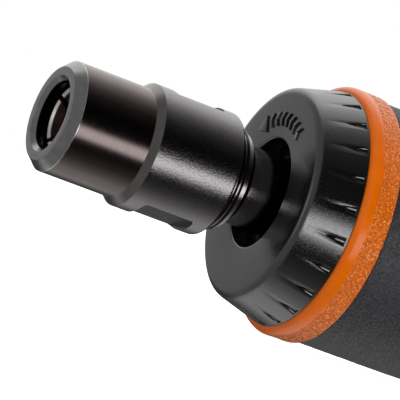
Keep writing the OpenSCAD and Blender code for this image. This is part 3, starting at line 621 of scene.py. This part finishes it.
def phosphated_steel():
    """Phosphated steel: dark crystals that glint, and light grey at the bottom of the spanner holes, partly
    bare worn steel and partly a painted highlight.
    """
    s = Surface("phosphated_steel", metallic=0.9)
    tree, rgb = s.tree, linear("#4B4A48")
    along = add(tree, "SeparateXYZ", {0: s.place}, "X")
    hole_floor = station("bearing_retainer", 0) + 1.3
    # the floors of the spanner holes are painted light grey: partly bare steel, partly a painted highlight
    wear_and_highlight = add(tree, "MapRange", {"Value": along, "From Min": hole_floor, "From Max": hole_floor + 0.4})
    dark = s.wander(3, scaled(rgb, 0.6), scaled(rgb, 1.4))
    bare_and_lit_grey = s.wander(0.3, linear("#A8A8A8"), linear("#F0F0F0"))
    shade = add(tree, "Mix", {0: wear_and_highlight, 6: dark, 7: bare_and_lit_grey}, **MIXED)
    roughness = add(tree, "MapRange", {"Value": wear_and_highlight, "To Min": 0.45, "To Max": 0.8})
    normal = add(tree, "Bump", {"Height": s.grain(0.3, 3), "Distance": 0.04 * MM, "Strength": 1})
    return s.dress(shade, roughness, normal)


def woven_phenolic():
    """Phenolic laminate: brown resin with the cotton weave showing faintly through it."""
    s = Surface("woven_phenolic_laminate", ior=1.55)
    tree, rgb = s.tree, linear("#5A432C")
    parts = add(tree, "SeparateXYZ", {0: s.place}).node.outputs
    thread_spacing = 0.5
    waves = []
    for axis in ("X", "Z"):
        phase = add(tree, "Math", {0: parts[axis], 1: TURN / thread_spacing}, operation="MULTIPLY")
        waves.append(add(tree, "Math", {0: phase}, operation="SINE"))
    crossed = add(tree, "Math", {0: waves[0], 1: waves[1]}, operation="MULTIPLY")
    weave = add(tree, "MapRange", {"Value": crossed, "From Min": -1})
    shade = add(tree, "Mix", {
        0: weave, 6: opaque(scaled(rgb, 0.7)), 7: opaque(scaled(rgb, 1.25))}, **MIXED)
    roughness = add(tree, "MapRange", {"Value": weave, "To Min": 0.42, "To Max": 0.58})
    normal = add(tree, "Bump", {"Height": weave, "Distance": 0.02 * MM, "Strength": 1})
    return s.dress(shade, roughness, normal)


def make_finishes():
    """Makes every finish, keyed by the record's slot."""
    shades = bpy.context.scene.grinder_colours
    nut = bpy.context.scene.grinder_nut
    nylon, housing = tuple(shades.nylon), tuple(shades.housing)
    return {
        "black_oxide_steel": turned_black_oxide(nut, shades),
        "ground_steel": bright_collet_steel(),
        # blackened like the nut, with a satin sheen and fine specks
        "spindle_steel": plain_finish("satin_black_oxide_steel", "#7A7577", 0.18, 0.22, 0.012, 1.0, mottle=3),
        "cap_composite": satin_nylon("glass_filled_nylon_cap", nylon, 0.22, 0.009, 0.2, 1.0),
        "retainer_steel": phosphated_steel(),
        # dense rubber with a dull even skin
        "seal_rubber": plain_finish("nitrile_seal_rubber", "#161616", 0.6, 0.3, 0.01),
        # lapped steel, close to a mirror
        "bearing_steel": ground_steel("lapped_bearing_steel", "#C4C6C8", 0.2, (0.4, 6, 6)),
        # turned brass, warm, with lines round it
        "brass": plain_finish("turned_brass", "#B58E46", 0.3, 0.2, 0.008, 1.0, stretch=(0.5, 5, 5)),
        # surface-ground plate with a grey sheen
        "plate_steel": ground_steel("surface_ground_steel", "#8B8E91", 0.36, (5, 0.5, 5)),
        # honed iron, grey with open grain
        "cylinder_iron": plain_finish("honed_cast_iron", "#77787A", 0.45, 0.4, 0.03, 0.9, mottle=2),
        "vane_phenolic": woven_phenolic(),
        # pressed fibres that lie flat
        "gasket_fibre": plain_finish("pressed_fibre_gasket", "#4A463C", 0.8, 0.5, 0.06, stretch=(1, 3, 1)),
        "housing_composite": satin_nylon("spark_textured_nylon", housing, 0.4, 0.045, 0.5),
        "grip_rubber": pebbled_rubber(shades),
        "bumper_rubber": leather_grain_rubber(shades, bpy.context.scene.grinder_body),
        # powder coat flows into a fine orange peel before it sets
        "lever_enamel": plain_finish(
            "black_powder_coat", "#232326", 0.34, 0.9, 0.05, contrast=0.12, spread=0.04),
        # zinc plate, bright with a faint blue cast and cloudy patches
        "zinc_steel": plain_finish("zinc_plated_steel", "#A9ACB1", 0.33, 0.5, 0.012, 1.0, mottle=1.6),
        # matted fibres with a soft open surface
        "muffler_felt": plain_finish(
            "pressed_felt", "#75695A", 0.95, 0.35, 0.18, mottle=1.2, stretch=(1, 2.5, 1)),
    }


FINISHES = {}


def finish_for(node):
    """The finish of a CAD node's slot."""
    if not FINISHES:
        FINISHES.update(make_finishes())
    return FINISHES[SLOT_OF[node]]


# Pieces

class PieceOperator:
    """What every piece's operator shares."""
    bl_options = {"REGISTER", "UNDO"}

    @classmethod
    def poll(cls, context):
        return context.mode == "OBJECT"


class GRINDER_OT_collet_nut(PieceOperator, bpy.types.Operator):
    """Turn the collet nut, mill its flats and put it on the collet's body"""
    bl_idname = "grinder.collet_nut"
    bl_label = "Collet nut"

    def execute(self, context):
        sizes = context.scene.grinder_nut
        x0, x1 = station("collet_nut", 0), station("collet_nut", 1)
        rear = outer_radius("collet_nut")
        front, face, mouth = sizes.front_radius / MM, sizes.face_radius / MM, sizes.mouth_radius / MM
        step, tail = sizes.step_station / MM, sizes.tail_round / MM
        thread, thread_start = sizes.thread_crest / MM + 0.06, 12
        seat_bore, seat_start, mouth_end = 6.55, 3.0, -0.25
        chamfer = sizes.mouth_chamfer / MM
        nut = turned("collet_nut_turned", rounded([
            (x0, mouth + chamfer, 0.06), (x0, face, 0.12), (x0 + sizes.nose_length / MM, front, 0.1),
            (step, front, 0.08), (step + sizes.step_length / MM, rear, 0.1), (x1, rear, tail),
            (x1, thread, 0.15), (thread_start, thread), (thread_start, seat_bore), (seat_start, seat_bore),
            (mouth_end, mouth), (x0 + chamfer, mouth, 0.06)], 6), 240)
        flat = sizes.flat_half / MM
        half = math.sqrt(rear ** 2 - flat ** 2) + 0.8
        start = x1 - (sizes.flat_tail + sizes.flat_length) / MM
        pocket = block("flat_cutter", (start, -half, flat), (start + sizes.flat_length / MM, half, flat + 3),
                       "Z", 2.0, 10)
        for turn in (-sizes.flat_turn, math.pi - sizes.flat_turn):
            cut(nut, spun_copy(pocket, turn, "flat_cutter_turned"))
        bpy.data.objects.remove(pocket)
        settle(nut, "collet_nut", finish_for("collet_nut"), 24)
        return {"FINISHED"}


class GRINDER_OT_collet(PieceOperator, bpy.types.Operator):
    """Turn the collet and saw its four slots"""
    bl_idname = "grinder.collet"
    bl_label = "Collet"

    def execute(self, context):
        sizes = context.scene.grinder_nut
        x1, body = station("collet", 1), outer_radius("collet")
        bore, face, tail = 3.0, sizes.mouth_radius / MM - 0.2, 4.6
        body_start, taper_start, unsawn = 3, 8, 4
        collet = turned("collet_turned", rounded([
            (sizes.countersink / MM, bore, 0.15), (0, face - 0.25, 0.1), (0, face, 0.1),
            (body_start, body, 0.2), (taper_start, body, 0.2), (x1, tail, 0.2), (x1, bore)], 4), 180)
        half = sizes.slot_width / MM / 2
        saw = block("slot_cutter", (-1, -body - 1, -half), (x1 - unsawn, body + 1, half))
        for turn in (sizes.slot_turn, sizes.slot_turn + math.pi / 2):
            cut(collet, spun_copy(saw, turn, "slot_cutter_turned"))
        bpy.data.objects.remove(saw)
        settle(collet, "collet", finish_for("collet"))
        return {"FINISHED"}


class GRINDER_OT_spindle(PieceOperator, bpy.types.Operator):
    """Turn the spindle and wind the thread that the nut runs on"""
    bl_idname = "grinder.spindle"
    bl_label = "Spindle"

    def execute(self, context):
        pitch = context.scene.grinder_nut.thread_pitch / MM
        crest = context.scene.grinder_nut.thread_crest / MM
        x0, x1 = station("spindle", 0), station("spindle", 1)
        root, shaft, thread_end = crest - 0.5, 6.0, 27.9
        stud, stud_length, shank_room, shank_end = 3.95, 13, 3.4, 38
        pocket, pocket_end = 4.85, 26
        spindle = turned("spindle_turned", rounded([
            (x0, 6.4), (x0, root, 0.2), (thread_end, root), (thread_end + 0.4, shaft + 0.5, 0.2),
            (thread_end + 1.1, shaft, 0.5), (x1, shaft, 0.3), (x1, stud), (x1 - stud_length, stud),
            (x1 - stud_length, 0.01), (shank_end, 0.01), (shank_end, shank_room), (pocket_end, shank_room),
            (pocket_end, pocket), (pocket_end - 2, pocket)], 5), 180)
        start = x0 + 0.1
        ridge = drawn("spindle_thread", [
            (start, root - 0.2), (start + 0.12 * pitch, root), (start + 0.42 * pitch, crest),
            (start + 0.58 * pitch, crest), (start + 0.88 * pitch, root), (start + pitch, root - 0.2)])
        bpy.ops.mesh.remove_doubles(threshold=WELD * MM)
        bpy.ops.object.mode_set(mode="OBJECT")
        turns = int((thread_end - start - pitch) / pitch)
        wind = ridge.modifiers.new("wind", "SCREW")
        wind.axis, wind.angle, wind.screw_offset, wind.iterations = "X", TURN, pitch * MM, turns
        wind.steps = wind.render_steps = 120
        wind.use_merge_vertices, wind.use_normal_calculate = True, True
        bpy.ops.object.modifier_apply(modifier=wind.name)
        only(ridge)
        bpy.ops.object.mode_set(mode="EDIT")
        tidy_mesh()
        settle(joined([spindle, ridge], "spindle_turned"), "spindle", finish_for("spindle"), 28)
        return {"FINISHED"}


def chevron(sizes, angle, x0):
    """One raised chevron of the direction mark, pointing towards +Y at the top."""
    half, height = sizes.mark_half / MM, sizes.mark_height / MM
    stroke, point = 0.5, 0.6
    bpy.ops.object.select_all(action="DESELECT")
    bpy.ops.mesh.primitive_grid_add(x_subdivisions=1, y_subdivisions=2, size=1)
    mark = bpy.context.object
    bpy.ops.object.mode_set(mode="EDIT")
    bpy.ops.transform.resize(value=(stroke * MM, 2 * half * MM, 1))
    bpy.ops.mesh.select_all(action="DESELECT")
    bpy.ops.object.mode_set(mode="OBJECT")
    for vertex in mark.data.vertices:
        vertex.select = abs(vertex.co.y) < 0.1 * MM
    bpy.ops.object.mode_set(mode="EDIT")
    bpy.ops.transform.translate(value=(point * MM, 0, 0))
    bpy.ops.mesh.select_all(action="SELECT")
    bpy.ops.mesh.extrude_region_move(TRANSFORM_OT_translate={"value": (0, 0, (height + MARK_ROOT) * MM)})
    tidy_mesh()
    stand_on_face(mark, sizes, angle, x0)
    return mark


def stand_on_face(mark, sizes, angle, x0):
    """Turns a mark drawn flat, with its top along +Y, onto the cap's face at an angle from the top."""
    soften(mark, 0.06, 50)
    upright = Matrix(((0, 0, -1, 0), (1, 0, 0, 0), (0, 1, 0, 0), (0, 0, 0, 1)))
    out = Matrix.Translation(((x0 + MARK_ROOT) * MM, 0, sizes.mark_radius))
    mark.data.transform(Matrix.Rotation(angle, 4, "X") @ out @ upright)
    only(mark)
    bpy.ops.object.mode_set(mode="EDIT")
    tidy_mesh()


class GRINDER_OT_front_cap(PieceOperator, bpy.types.Operator):
    """Mould the front cap, scoop its grip notches and raise the direction mark on its face"""
    bl_idname = "grinder.front_cap"
    bl_label = "Front cap"

    def execute(self, context):
        sizes = context.scene.grinder_cap
        depth, head_radius, x1 = 7.6, 1.7, station("bumper_ring", 0)
        x0, skirt_end = x1 - depth, station("front_cap", 1)
        hole, face, rear = sizes.hole_radius / MM, sizes.face_radius / MM, sizes.rear_radius / MM
        skirt_out, skirt_in, wall = 15.3, 13.6, 2.8
        cap = turned("front_cap_moulded", rounded([
            (x0, hole, 0.35), (x0, face, sizes.rounding / MM), (x1, rear, 0.12), (x1, skirt_out),
            (skirt_end, skirt_out), (skirt_end, skirt_in), (x0 + wall, skirt_in),
            (x0 + wall, hole, 0.2)], 7), 288)
        slope = math.atan((rear - face) / (x1 - x0 - sizes.rounding / MM * 0.3))
        bpy.ops.object.select_all(action="DESELECT")
        bpy.ops.mesh.primitive_cone_add(vertices=24, radius1=0.5, radius2=0, depth=1)
        scoop = bpy.context.object
        # a gouge with its point towards the nose, which widens and deepens almost to the rear edge
        middle = x1 - (sizes.notch_length / 2 + sizes.notch_gap) / MM
        centre = Vector((middle, 0, rear - (x1 - middle) * math.tan(slope))) * MM
        scoop.data.transform(
            Matrix.Translation(centre) @ Matrix.Rotation(-slope, 4, "Y")
            @ Matrix.Diagonal((sizes.notch_length, sizes.notch_width, 2 * sizes.notch_depth, 1))
            @ Matrix.Rotation(-math.pi / 2, 4, "Y"))
        scoops = [spun_copy(scoop, sizes.notch_turn + TURN * i / sizes.notches, "scoop")
                  for i in range(sizes.notches)]
        bpy.data.objects.remove(scoop)
        cut(cap, joined(scoops, "scoops"))
        soften(cap, 0.07, 40)
        marks = [chevron(sizes, (i - (sizes.chevrons - 2) / 2) * sizes.mark_step, x0)
                 for i in range(sizes.chevrons)]
        bpy.ops.object.select_all(action="DESELECT")
        bpy.ops.mesh.primitive_circle_add(vertices=3, radius=head_radius * MM, fill_type="NGON")
        head = bpy.context.object
        bpy.ops.object.mode_set(mode="EDIT")
        bpy.ops.transform.rotate(value=math.pi / 2, orient_axis="Z", center_override=(0, 0, 0))
        bpy.ops.mesh.extrude_region_move(
            TRANSFORM_OT_translate={"value": (0, 0, sizes.mark_height + MARK_ROOT * MM)})
        tidy_mesh()
        stand_on_face(head, sizes, -(sizes.chevrons + 1) / 2 * sizes.mark_step, x0)
        cap = joined([cap] + marks + [head], "front_cap_moulded")
        settle(cap, "front_cap", finish_for("front_cap"), 32)
        return {"FINISHED"}


class GRINDER_OT_bearing_face(PieceOperator, bpy.types.Operator):
    """Turn the retainer with its spanner holes and the lipped spindle seal"""
    bl_idname = "grinder.bearing_face"
    bl_label = "Bearing retainer and seal"

    def execute(self, context):
        x0, x1 = station("bearing_retainer", 0), station("bearing_retainer", 1)
        inner, outer, collar = 7.0, outer_radius("bearing_retainer"), 1.6
        holes, hole_circle, hole_radius, first = 4, 9.3, 1.1, math.radians(45)
        ring = turned("bearing_retainer_turned", rounded([
            (x0, inner, 0.2), (x0, outer - collar, 0.2), (x0 + 0.5, outer - collar, 0.1),
            (x0 + 0.5, outer, 0.3), (x1, outer, 0.2), (x1, inner, 0.2)], 4), 144)
        for i in range(holes):
            bpy.ops.object.select_all(action="DESELECT")
            bpy.ops.mesh.primitive_cylinder_add(vertices=40, radius=hole_radius * MM, depth=4 * MM)
            drill = bpy.context.object
            drill.data.transform(
                Matrix.Rotation(first + TURN * i / holes, 4, "X")
                @ Matrix.Translation((x0 * MM, 0, hole_circle * MM)) @ Matrix.Rotation(math.pi / 2, 4, "Y"))
            cut(ring, drill)
        settle(soften(ring, 0.08), "bearing_retainer", finish_for("bearing_retainer"))
        s0, s1 = station("spindle_seal", 0), station("spindle_seal", 1)
        seal = turned("spindle_seal_moulded", rounded([
            (s0, 6.3, 0.1), (s0 + 0.3, 6.95, 0.1), (s1, 6.95, 0.1), (s1, 6.5, 0.1), (s0 + 1.2, 6.5, 0.3),
            (s0 + 0.8, 6.1, 0.1)], 4), 120)
        settle(seal, "spindle_seal", finish_for("spindle_seal"))
        return {"FINISHED"}


class GRINDER_OT_bumper_ring(PieceOperator, bpy.types.Operator):
    """Mould the orange bumper ring with its smooth lip and leather grain"""
    bl_idname = "grinder.bumper_ring"
    bl_label = "Bumper ring"

    def execute(self, context):
        sizes = context.scene.grinder_body
        x0, x1 = station("bumper_ring", 0), station("bumper_ring", 1)
        outer, tail, row = outer_radius("bumper_ring"), 0.6, 0.15
        groove_depth, groove_half = 0.07, 0.14
        lip, crease = sizes.lip_round / MM, sizes.lip_width / MM
        start = context.scene.grinder_cap.rear_radius / MM
        rise = [Vector((x0 + lip * (1 - math.cos(a)), start + (outer - start) * math.sin(a)))
                for a in (math.radians(10 * k) for k in range(10))]
        flat = x1 - tail - x0 - lip
        rows = int(flat / row)
        band = []
        for k in range(1, rows + 1):
            x = x0 + lip + flat * k / rows
            # a shallow groove parts the smooth lip from the grained band
            groove = groove_depth * math.exp(-((x - x0 - crease) / groove_half) ** 2)
            band.append(Vector((x, outer - groove)))
        outline = [Vector((x0, SLEEVE_INNER))] + rise + band + [
            Vector((x1 - 0.3, outer - 0.07)), Vector((x1 - 0.1, outer - 0.2)), Vector((x1, outer - 0.42)),
            Vector((x1, SLEEVE_INNER))]
        ring = turned("bumper_ring_moulded", outline, 720)
        grained(ring, x0 + crease, x1 - 0.2, outer - 0.45, sizes.leather_cell, sizes.leather_depth)
        settle(ring, "bumper_ring", finish_for("bumper_ring"), 60)
        return {"FINISHED"}


class GRINDER_OT_grip(PieceOperator, bpy.types.Operator):
    """Mould the rubber grip with its waist and pebbled skin"""
    bl_idname = "grinder.grip"
    bl_label = "Grip"

    def execute(self, context):
        sizes = context.scene.grinder_body
        x0, x1 = station("grip", 0), station("grip", 1)
        outer, rows = outer_radius("grip"), 165
        # the waist starts this far behind the front end and stops this far before the rear one
        before, after = 14, 2
        outline = [Vector((x0, SLEEVE_INNER)), Vector((x0, outer - 0.25)), Vector((x0 + 0.2, outer - 0.05))]
        for k in range(1, rows):
            x = x0 + (x1 - x0) * k / rows
            t = max(0.0, (x - x0 - before) / (x1 - x0 - before - after))
            outline.append(Vector((x, outer - sizes.waist / MM * (1 - math.cos(TURN * min(t, 1))) / 2)))
        outline += [Vector((x1 - 0.2, outer - 0.05)), Vector((x1, outer - 0.25)), Vector((x1, SLEEVE_INNER))]
        grip = turned("grip_moulded", outline, 340)
        grained(grip, x0, x1, outer - 0.8, sizes.pebble_cell, sizes.pebble_depth)
        settle(grip, "grip", finish_for("grip"), 70)
        return {"FINISHED"}


class GRINDER_OT_rear_body(PieceOperator, bpy.types.Operator):
    """Soften the edges of the housing and the exhaust deflector"""
    bl_idname = "grinder.rear_body"
    bl_label = "Rear body"

    def execute(self, context):
        for node, bevel in (("housing", 0.25), ("exhaust_deflector", 0.2)):
            settle(dressed_copy(node, bevel), node, finish_for(node))
        return {"FINISHED"}


class GRINDER_OT_throttle(PieceOperator, bpy.types.Operator):
    """Soften the throttle lever, latch, pins and valve pieces that show"""
    bl_idname = "grinder.throttle"
    bl_label = "Throttle"

    def execute(self, context):
        spring = settle(dressed_copy("valve_spring"), "valve_spring", finish_for("valve_spring"))
        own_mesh(spring)
        for node, bevel in (("throttle_lever", 0.3), ("safety_latch", 0.15), ("lever_pin", 0.25),
                            ("latch_pin", 0.12), ("valve_bush", 0.1), ("regulator", 0.12),
                            ("regulator_clip", 0.08)):
            settle(dressed_copy(node, bevel), node, finish_for(node))
        return {"FINISHED"}


class GRINDER_OT_air_inlet(PieceOperator, bpy.types.Operator):
    """Soften the hexagonal air inlet"""
    bl_idname = "grinder.air_inlet"
    bl_label = "Air inlet"

    def execute(self, context):
        settle(dressed_copy("inlet_bushing", 0.12), "inlet_bushing", finish_for("inlet_bushing"))
        return {"FINISHED"}


class GRINDER_OT_inner_works(PieceOperator, bpy.types.Operator):
    """Give the bearings, motor, valve and muffler their finishes"""
    bl_idname = "grinder.inner_works"
    bl_label = "Inner works"

    def execute(self, context):
        for name, node in frame["nodes"].items():
            if not node.hide_render:
                node.data.materials.clear()
                node.data.materials.append(finish_for(name))
        return {"FINISHED"}


class GRINDER_OT_stage(PieceOperator, bpy.types.Operator):
    """Lay the floor, set the lights and place the camera"""
    bl_idname = "grinder.stage"
    bl_label = "Studio"

    def execute(self, context):
        studio = context.scene.grinder_studio
        self.lay_floor(context, CAD_BOUNDS[0][2])
        self.light(context, studio)
        right, forward, up = (0.8559, -0.3803, 0.3505), (0.4061, 0.9138, 0.0), (-0.3203, 0.1423, 0.9366)
        camera = bpy.data.cameras.new("studio_camera")
        camera.lens, camera.sensor_width, camera.clip_start = studio.lens, 36, 0.01
        stand = bpy.data.objects.new("studio_camera", camera)
        context.scene.collection.objects.link(stand)
        turn = Matrix((right, up, [-c for c in forward])).transposed().to_4x4()
        stand.matrix_world = Matrix.Translation(studio.camera_place) @ turn
        context.scene.camera = stand
        context.scene.view_settings.view_transform = "Standard"
        return {"FINISHED"}

    def lay_floor(self, context, height):
        bpy.ops.object.select_all(action="DESELECT")
        bpy.ops.mesh.primitive_plane_add(size=6)
        floor = bpy.context.object
        floor.name = "studio_floor"
        floor.data.transform(Matrix.Translation((0, 0, height)))
        s = Surface("matt_white_floor", roughness=0.9)
        rgb = tuple(context.scene.grinder_colours.floor)
        s.tree.links.new(s.wander(40, scaled(rgb, 0.98), rgb, 2), s.shader.inputs["Base Color"])
        s.shader.inputs["Emission Color"].default_value = (1, 1, 1, 1)
        s.shader.inputs["Emission Strength"].default_value = context.scene.grinder_studio.floor_glow
        floor.data.materials.append(s.material)
        # the tool is lit by the studio round it and not by the floor just under it
        floor.visible_glossy = floor.visible_diffuse = False

    def light(self, context, studio):
        world = bpy.data.worlds.new("white_studio")
        context.scene.world = world
        world.use_nodes = True
        tree = world.node_tree
        tree.nodes.clear()
        around = add(tree, "TexCoord", output="Generated")
        parts = add(tree, "SeparateXYZ", {0: around}).node.outputs
        front = add(tree, "Math", {0: parts["Y"], 1: -1.0}, operation="MULTIPLY")
        angle = add(tree, "Math", {0: parts["Z"], 1: front}, operation="ARCTAN2")
        share = add(tree, "MapRange", {"Value": angle, "From Min": -math.pi, "From Max": math.pi})
        ramp = add(tree, "ValToRGB", {0: share})
        # brightness round the spindle, from behind, under, in front, over and back to behind
        white, strip = studio.world_light, studio.strip_light
        stops = [(-180, 0.5 * white), (-168, 0.1), (-152, 0.1), (-142, 0.25 * white), (-130, 0.8 * white),
                 (-102, 0.95 * white), (-84, 0.45 * white), (-66, 0.2),
                 (-46, 0.06), (-27, 0.03), (-20, strip),
                 (-6, strip), (2, 0.03), (40, 0.01), (66, 0.08), (84, 0.25 * white), (100, 0.7 * white),
                 (122, 1.5 * white), (150, 1.1 * white), (180, 0.5 * white)]
        marks = ramp.node.color_ramp.elements
        for degrees, glow in stops:
            ends = {-180: 0, 180: len(marks) - 1}
            mark = marks[ends[degrees]] if degrees in ends else marks.new((degrees + 180) / 360)
            mark.color = (glow, glow, glow, 1)
        # the nose faces an even grey wall, brightest straight ahead
        ahead = add(tree, "MapRange", {
            "Value": parts["X"], "From Min": -0.95, "From Max": -1.0, "To Min": studio.nose_wall,
            "To Max": studio.nose_lamp})
        noseward = add(tree, "MapRange", {"Value": parts["X"], "From Min": -0.28, "From Max": -0.44})
        room = add(tree, "Mix", {0: noseward, 6: ramp, 7: ahead}, **MIXED)
        # the backdrop is plain white
        seen = add(tree, "LightPath", output="Is Camera Ray")
        shown = add(tree, "Mix", {0: seen, 6: room, 7: (1, 1, 1, 1)}, **MIXED)
        add(tree, "OutputWorld", {"Surface": add(tree, "Background", {"Color": shown, "Strength": 1})})
        for name, place, aim, size, power in (
                ("overhead_softbox", (0.0, -0.15, 0.9), (0.0, -0.15, 0), 1.4, studio.key_light),
                ("front_fill", (-0.25, -0.9, 0.25), (0.03, 0, 0), 0.6, studio.fill_light)):
            lamp = bpy.data.lights.new(name, "AREA")
            lamp.shape, lamp.size, lamp.energy = "SQUARE", size, power
            stand = bpy.data.objects.new(name, lamp)
            context.scene.collection.objects.link(stand)
            aimed = (Vector(aim) - Vector(place)).to_track_quat("-Z", "Y").to_matrix().to_4x4()
            stand.matrix_world = Matrix.Translation(place) @ aimed
            # reflections come from the surroundings alone
            stand.visible_glossy = False


PIECES = (
    GRINDER_OT_collet_nut, GRINDER_OT_collet, GRINDER_OT_spindle, GRINDER_OT_front_cap,
    GRINDER_OT_bearing_face, GRINDER_OT_bumper_ring, GRINDER_OT_grip, GRINDER_OT_rear_body,
    GRINDER_OT_throttle, GRINDER_OT_air_inlet, GRINDER_OT_inner_works, GRINDER_OT_stage)
GROUPS = {"grinder_nut": NutSizes, "grinder_cap": CapSizes, "grinder_body": BodySizes,
          "grinder_colours": GrinderColours, "grinder_studio": StudioSettings}


class GRINDER_PT_pieces(bpy.types.Panel):
    """Lists the sizes, colours and pieces of the grinder"""
    bl_label = "Die Grinder"
    bl_idname = "GRINDER_PT_pieces"
    bl_space_type = "VIEW_3D"
    bl_region_type = "UI"
    bl_category = "Die Grinder"

    def draw(self, context):
        for group, kind in GROUPS.items():
            box = self.layout.box()
            box.label(text=kind.__doc__.rstrip("."))
            for prop in kind.__annotations__:
                box.prop(getattr(context.scene, group), prop)
        for piece in PIECES:
            self.layout.operator(piece.bl_idname)


CLASSES = tuple(GROUPS.values()) + PIECES + (GRINDER_PT_pieces,)


def register():
    for kind in CLASSES:
        bpy.utils.register_class(kind)
    for name, kind in GROUPS.items():
        setattr(bpy.types.Scene, name, bpy.props.PointerProperty(type=kind))


def unregister():
    for name in GROUPS:
        delattr(bpy.types.Scene, name)
    for kind in reversed(CLASSES):
        bpy.utils.unregister_class(kind)


def main():
    """Builds the grinder and lights it."""
    register()
    for piece in PIECES:
        group, name = piece.bl_idname.split(".")
        getattr(getattr(bpy.ops, group), name)()


if __name__ == "__main__":
    main()
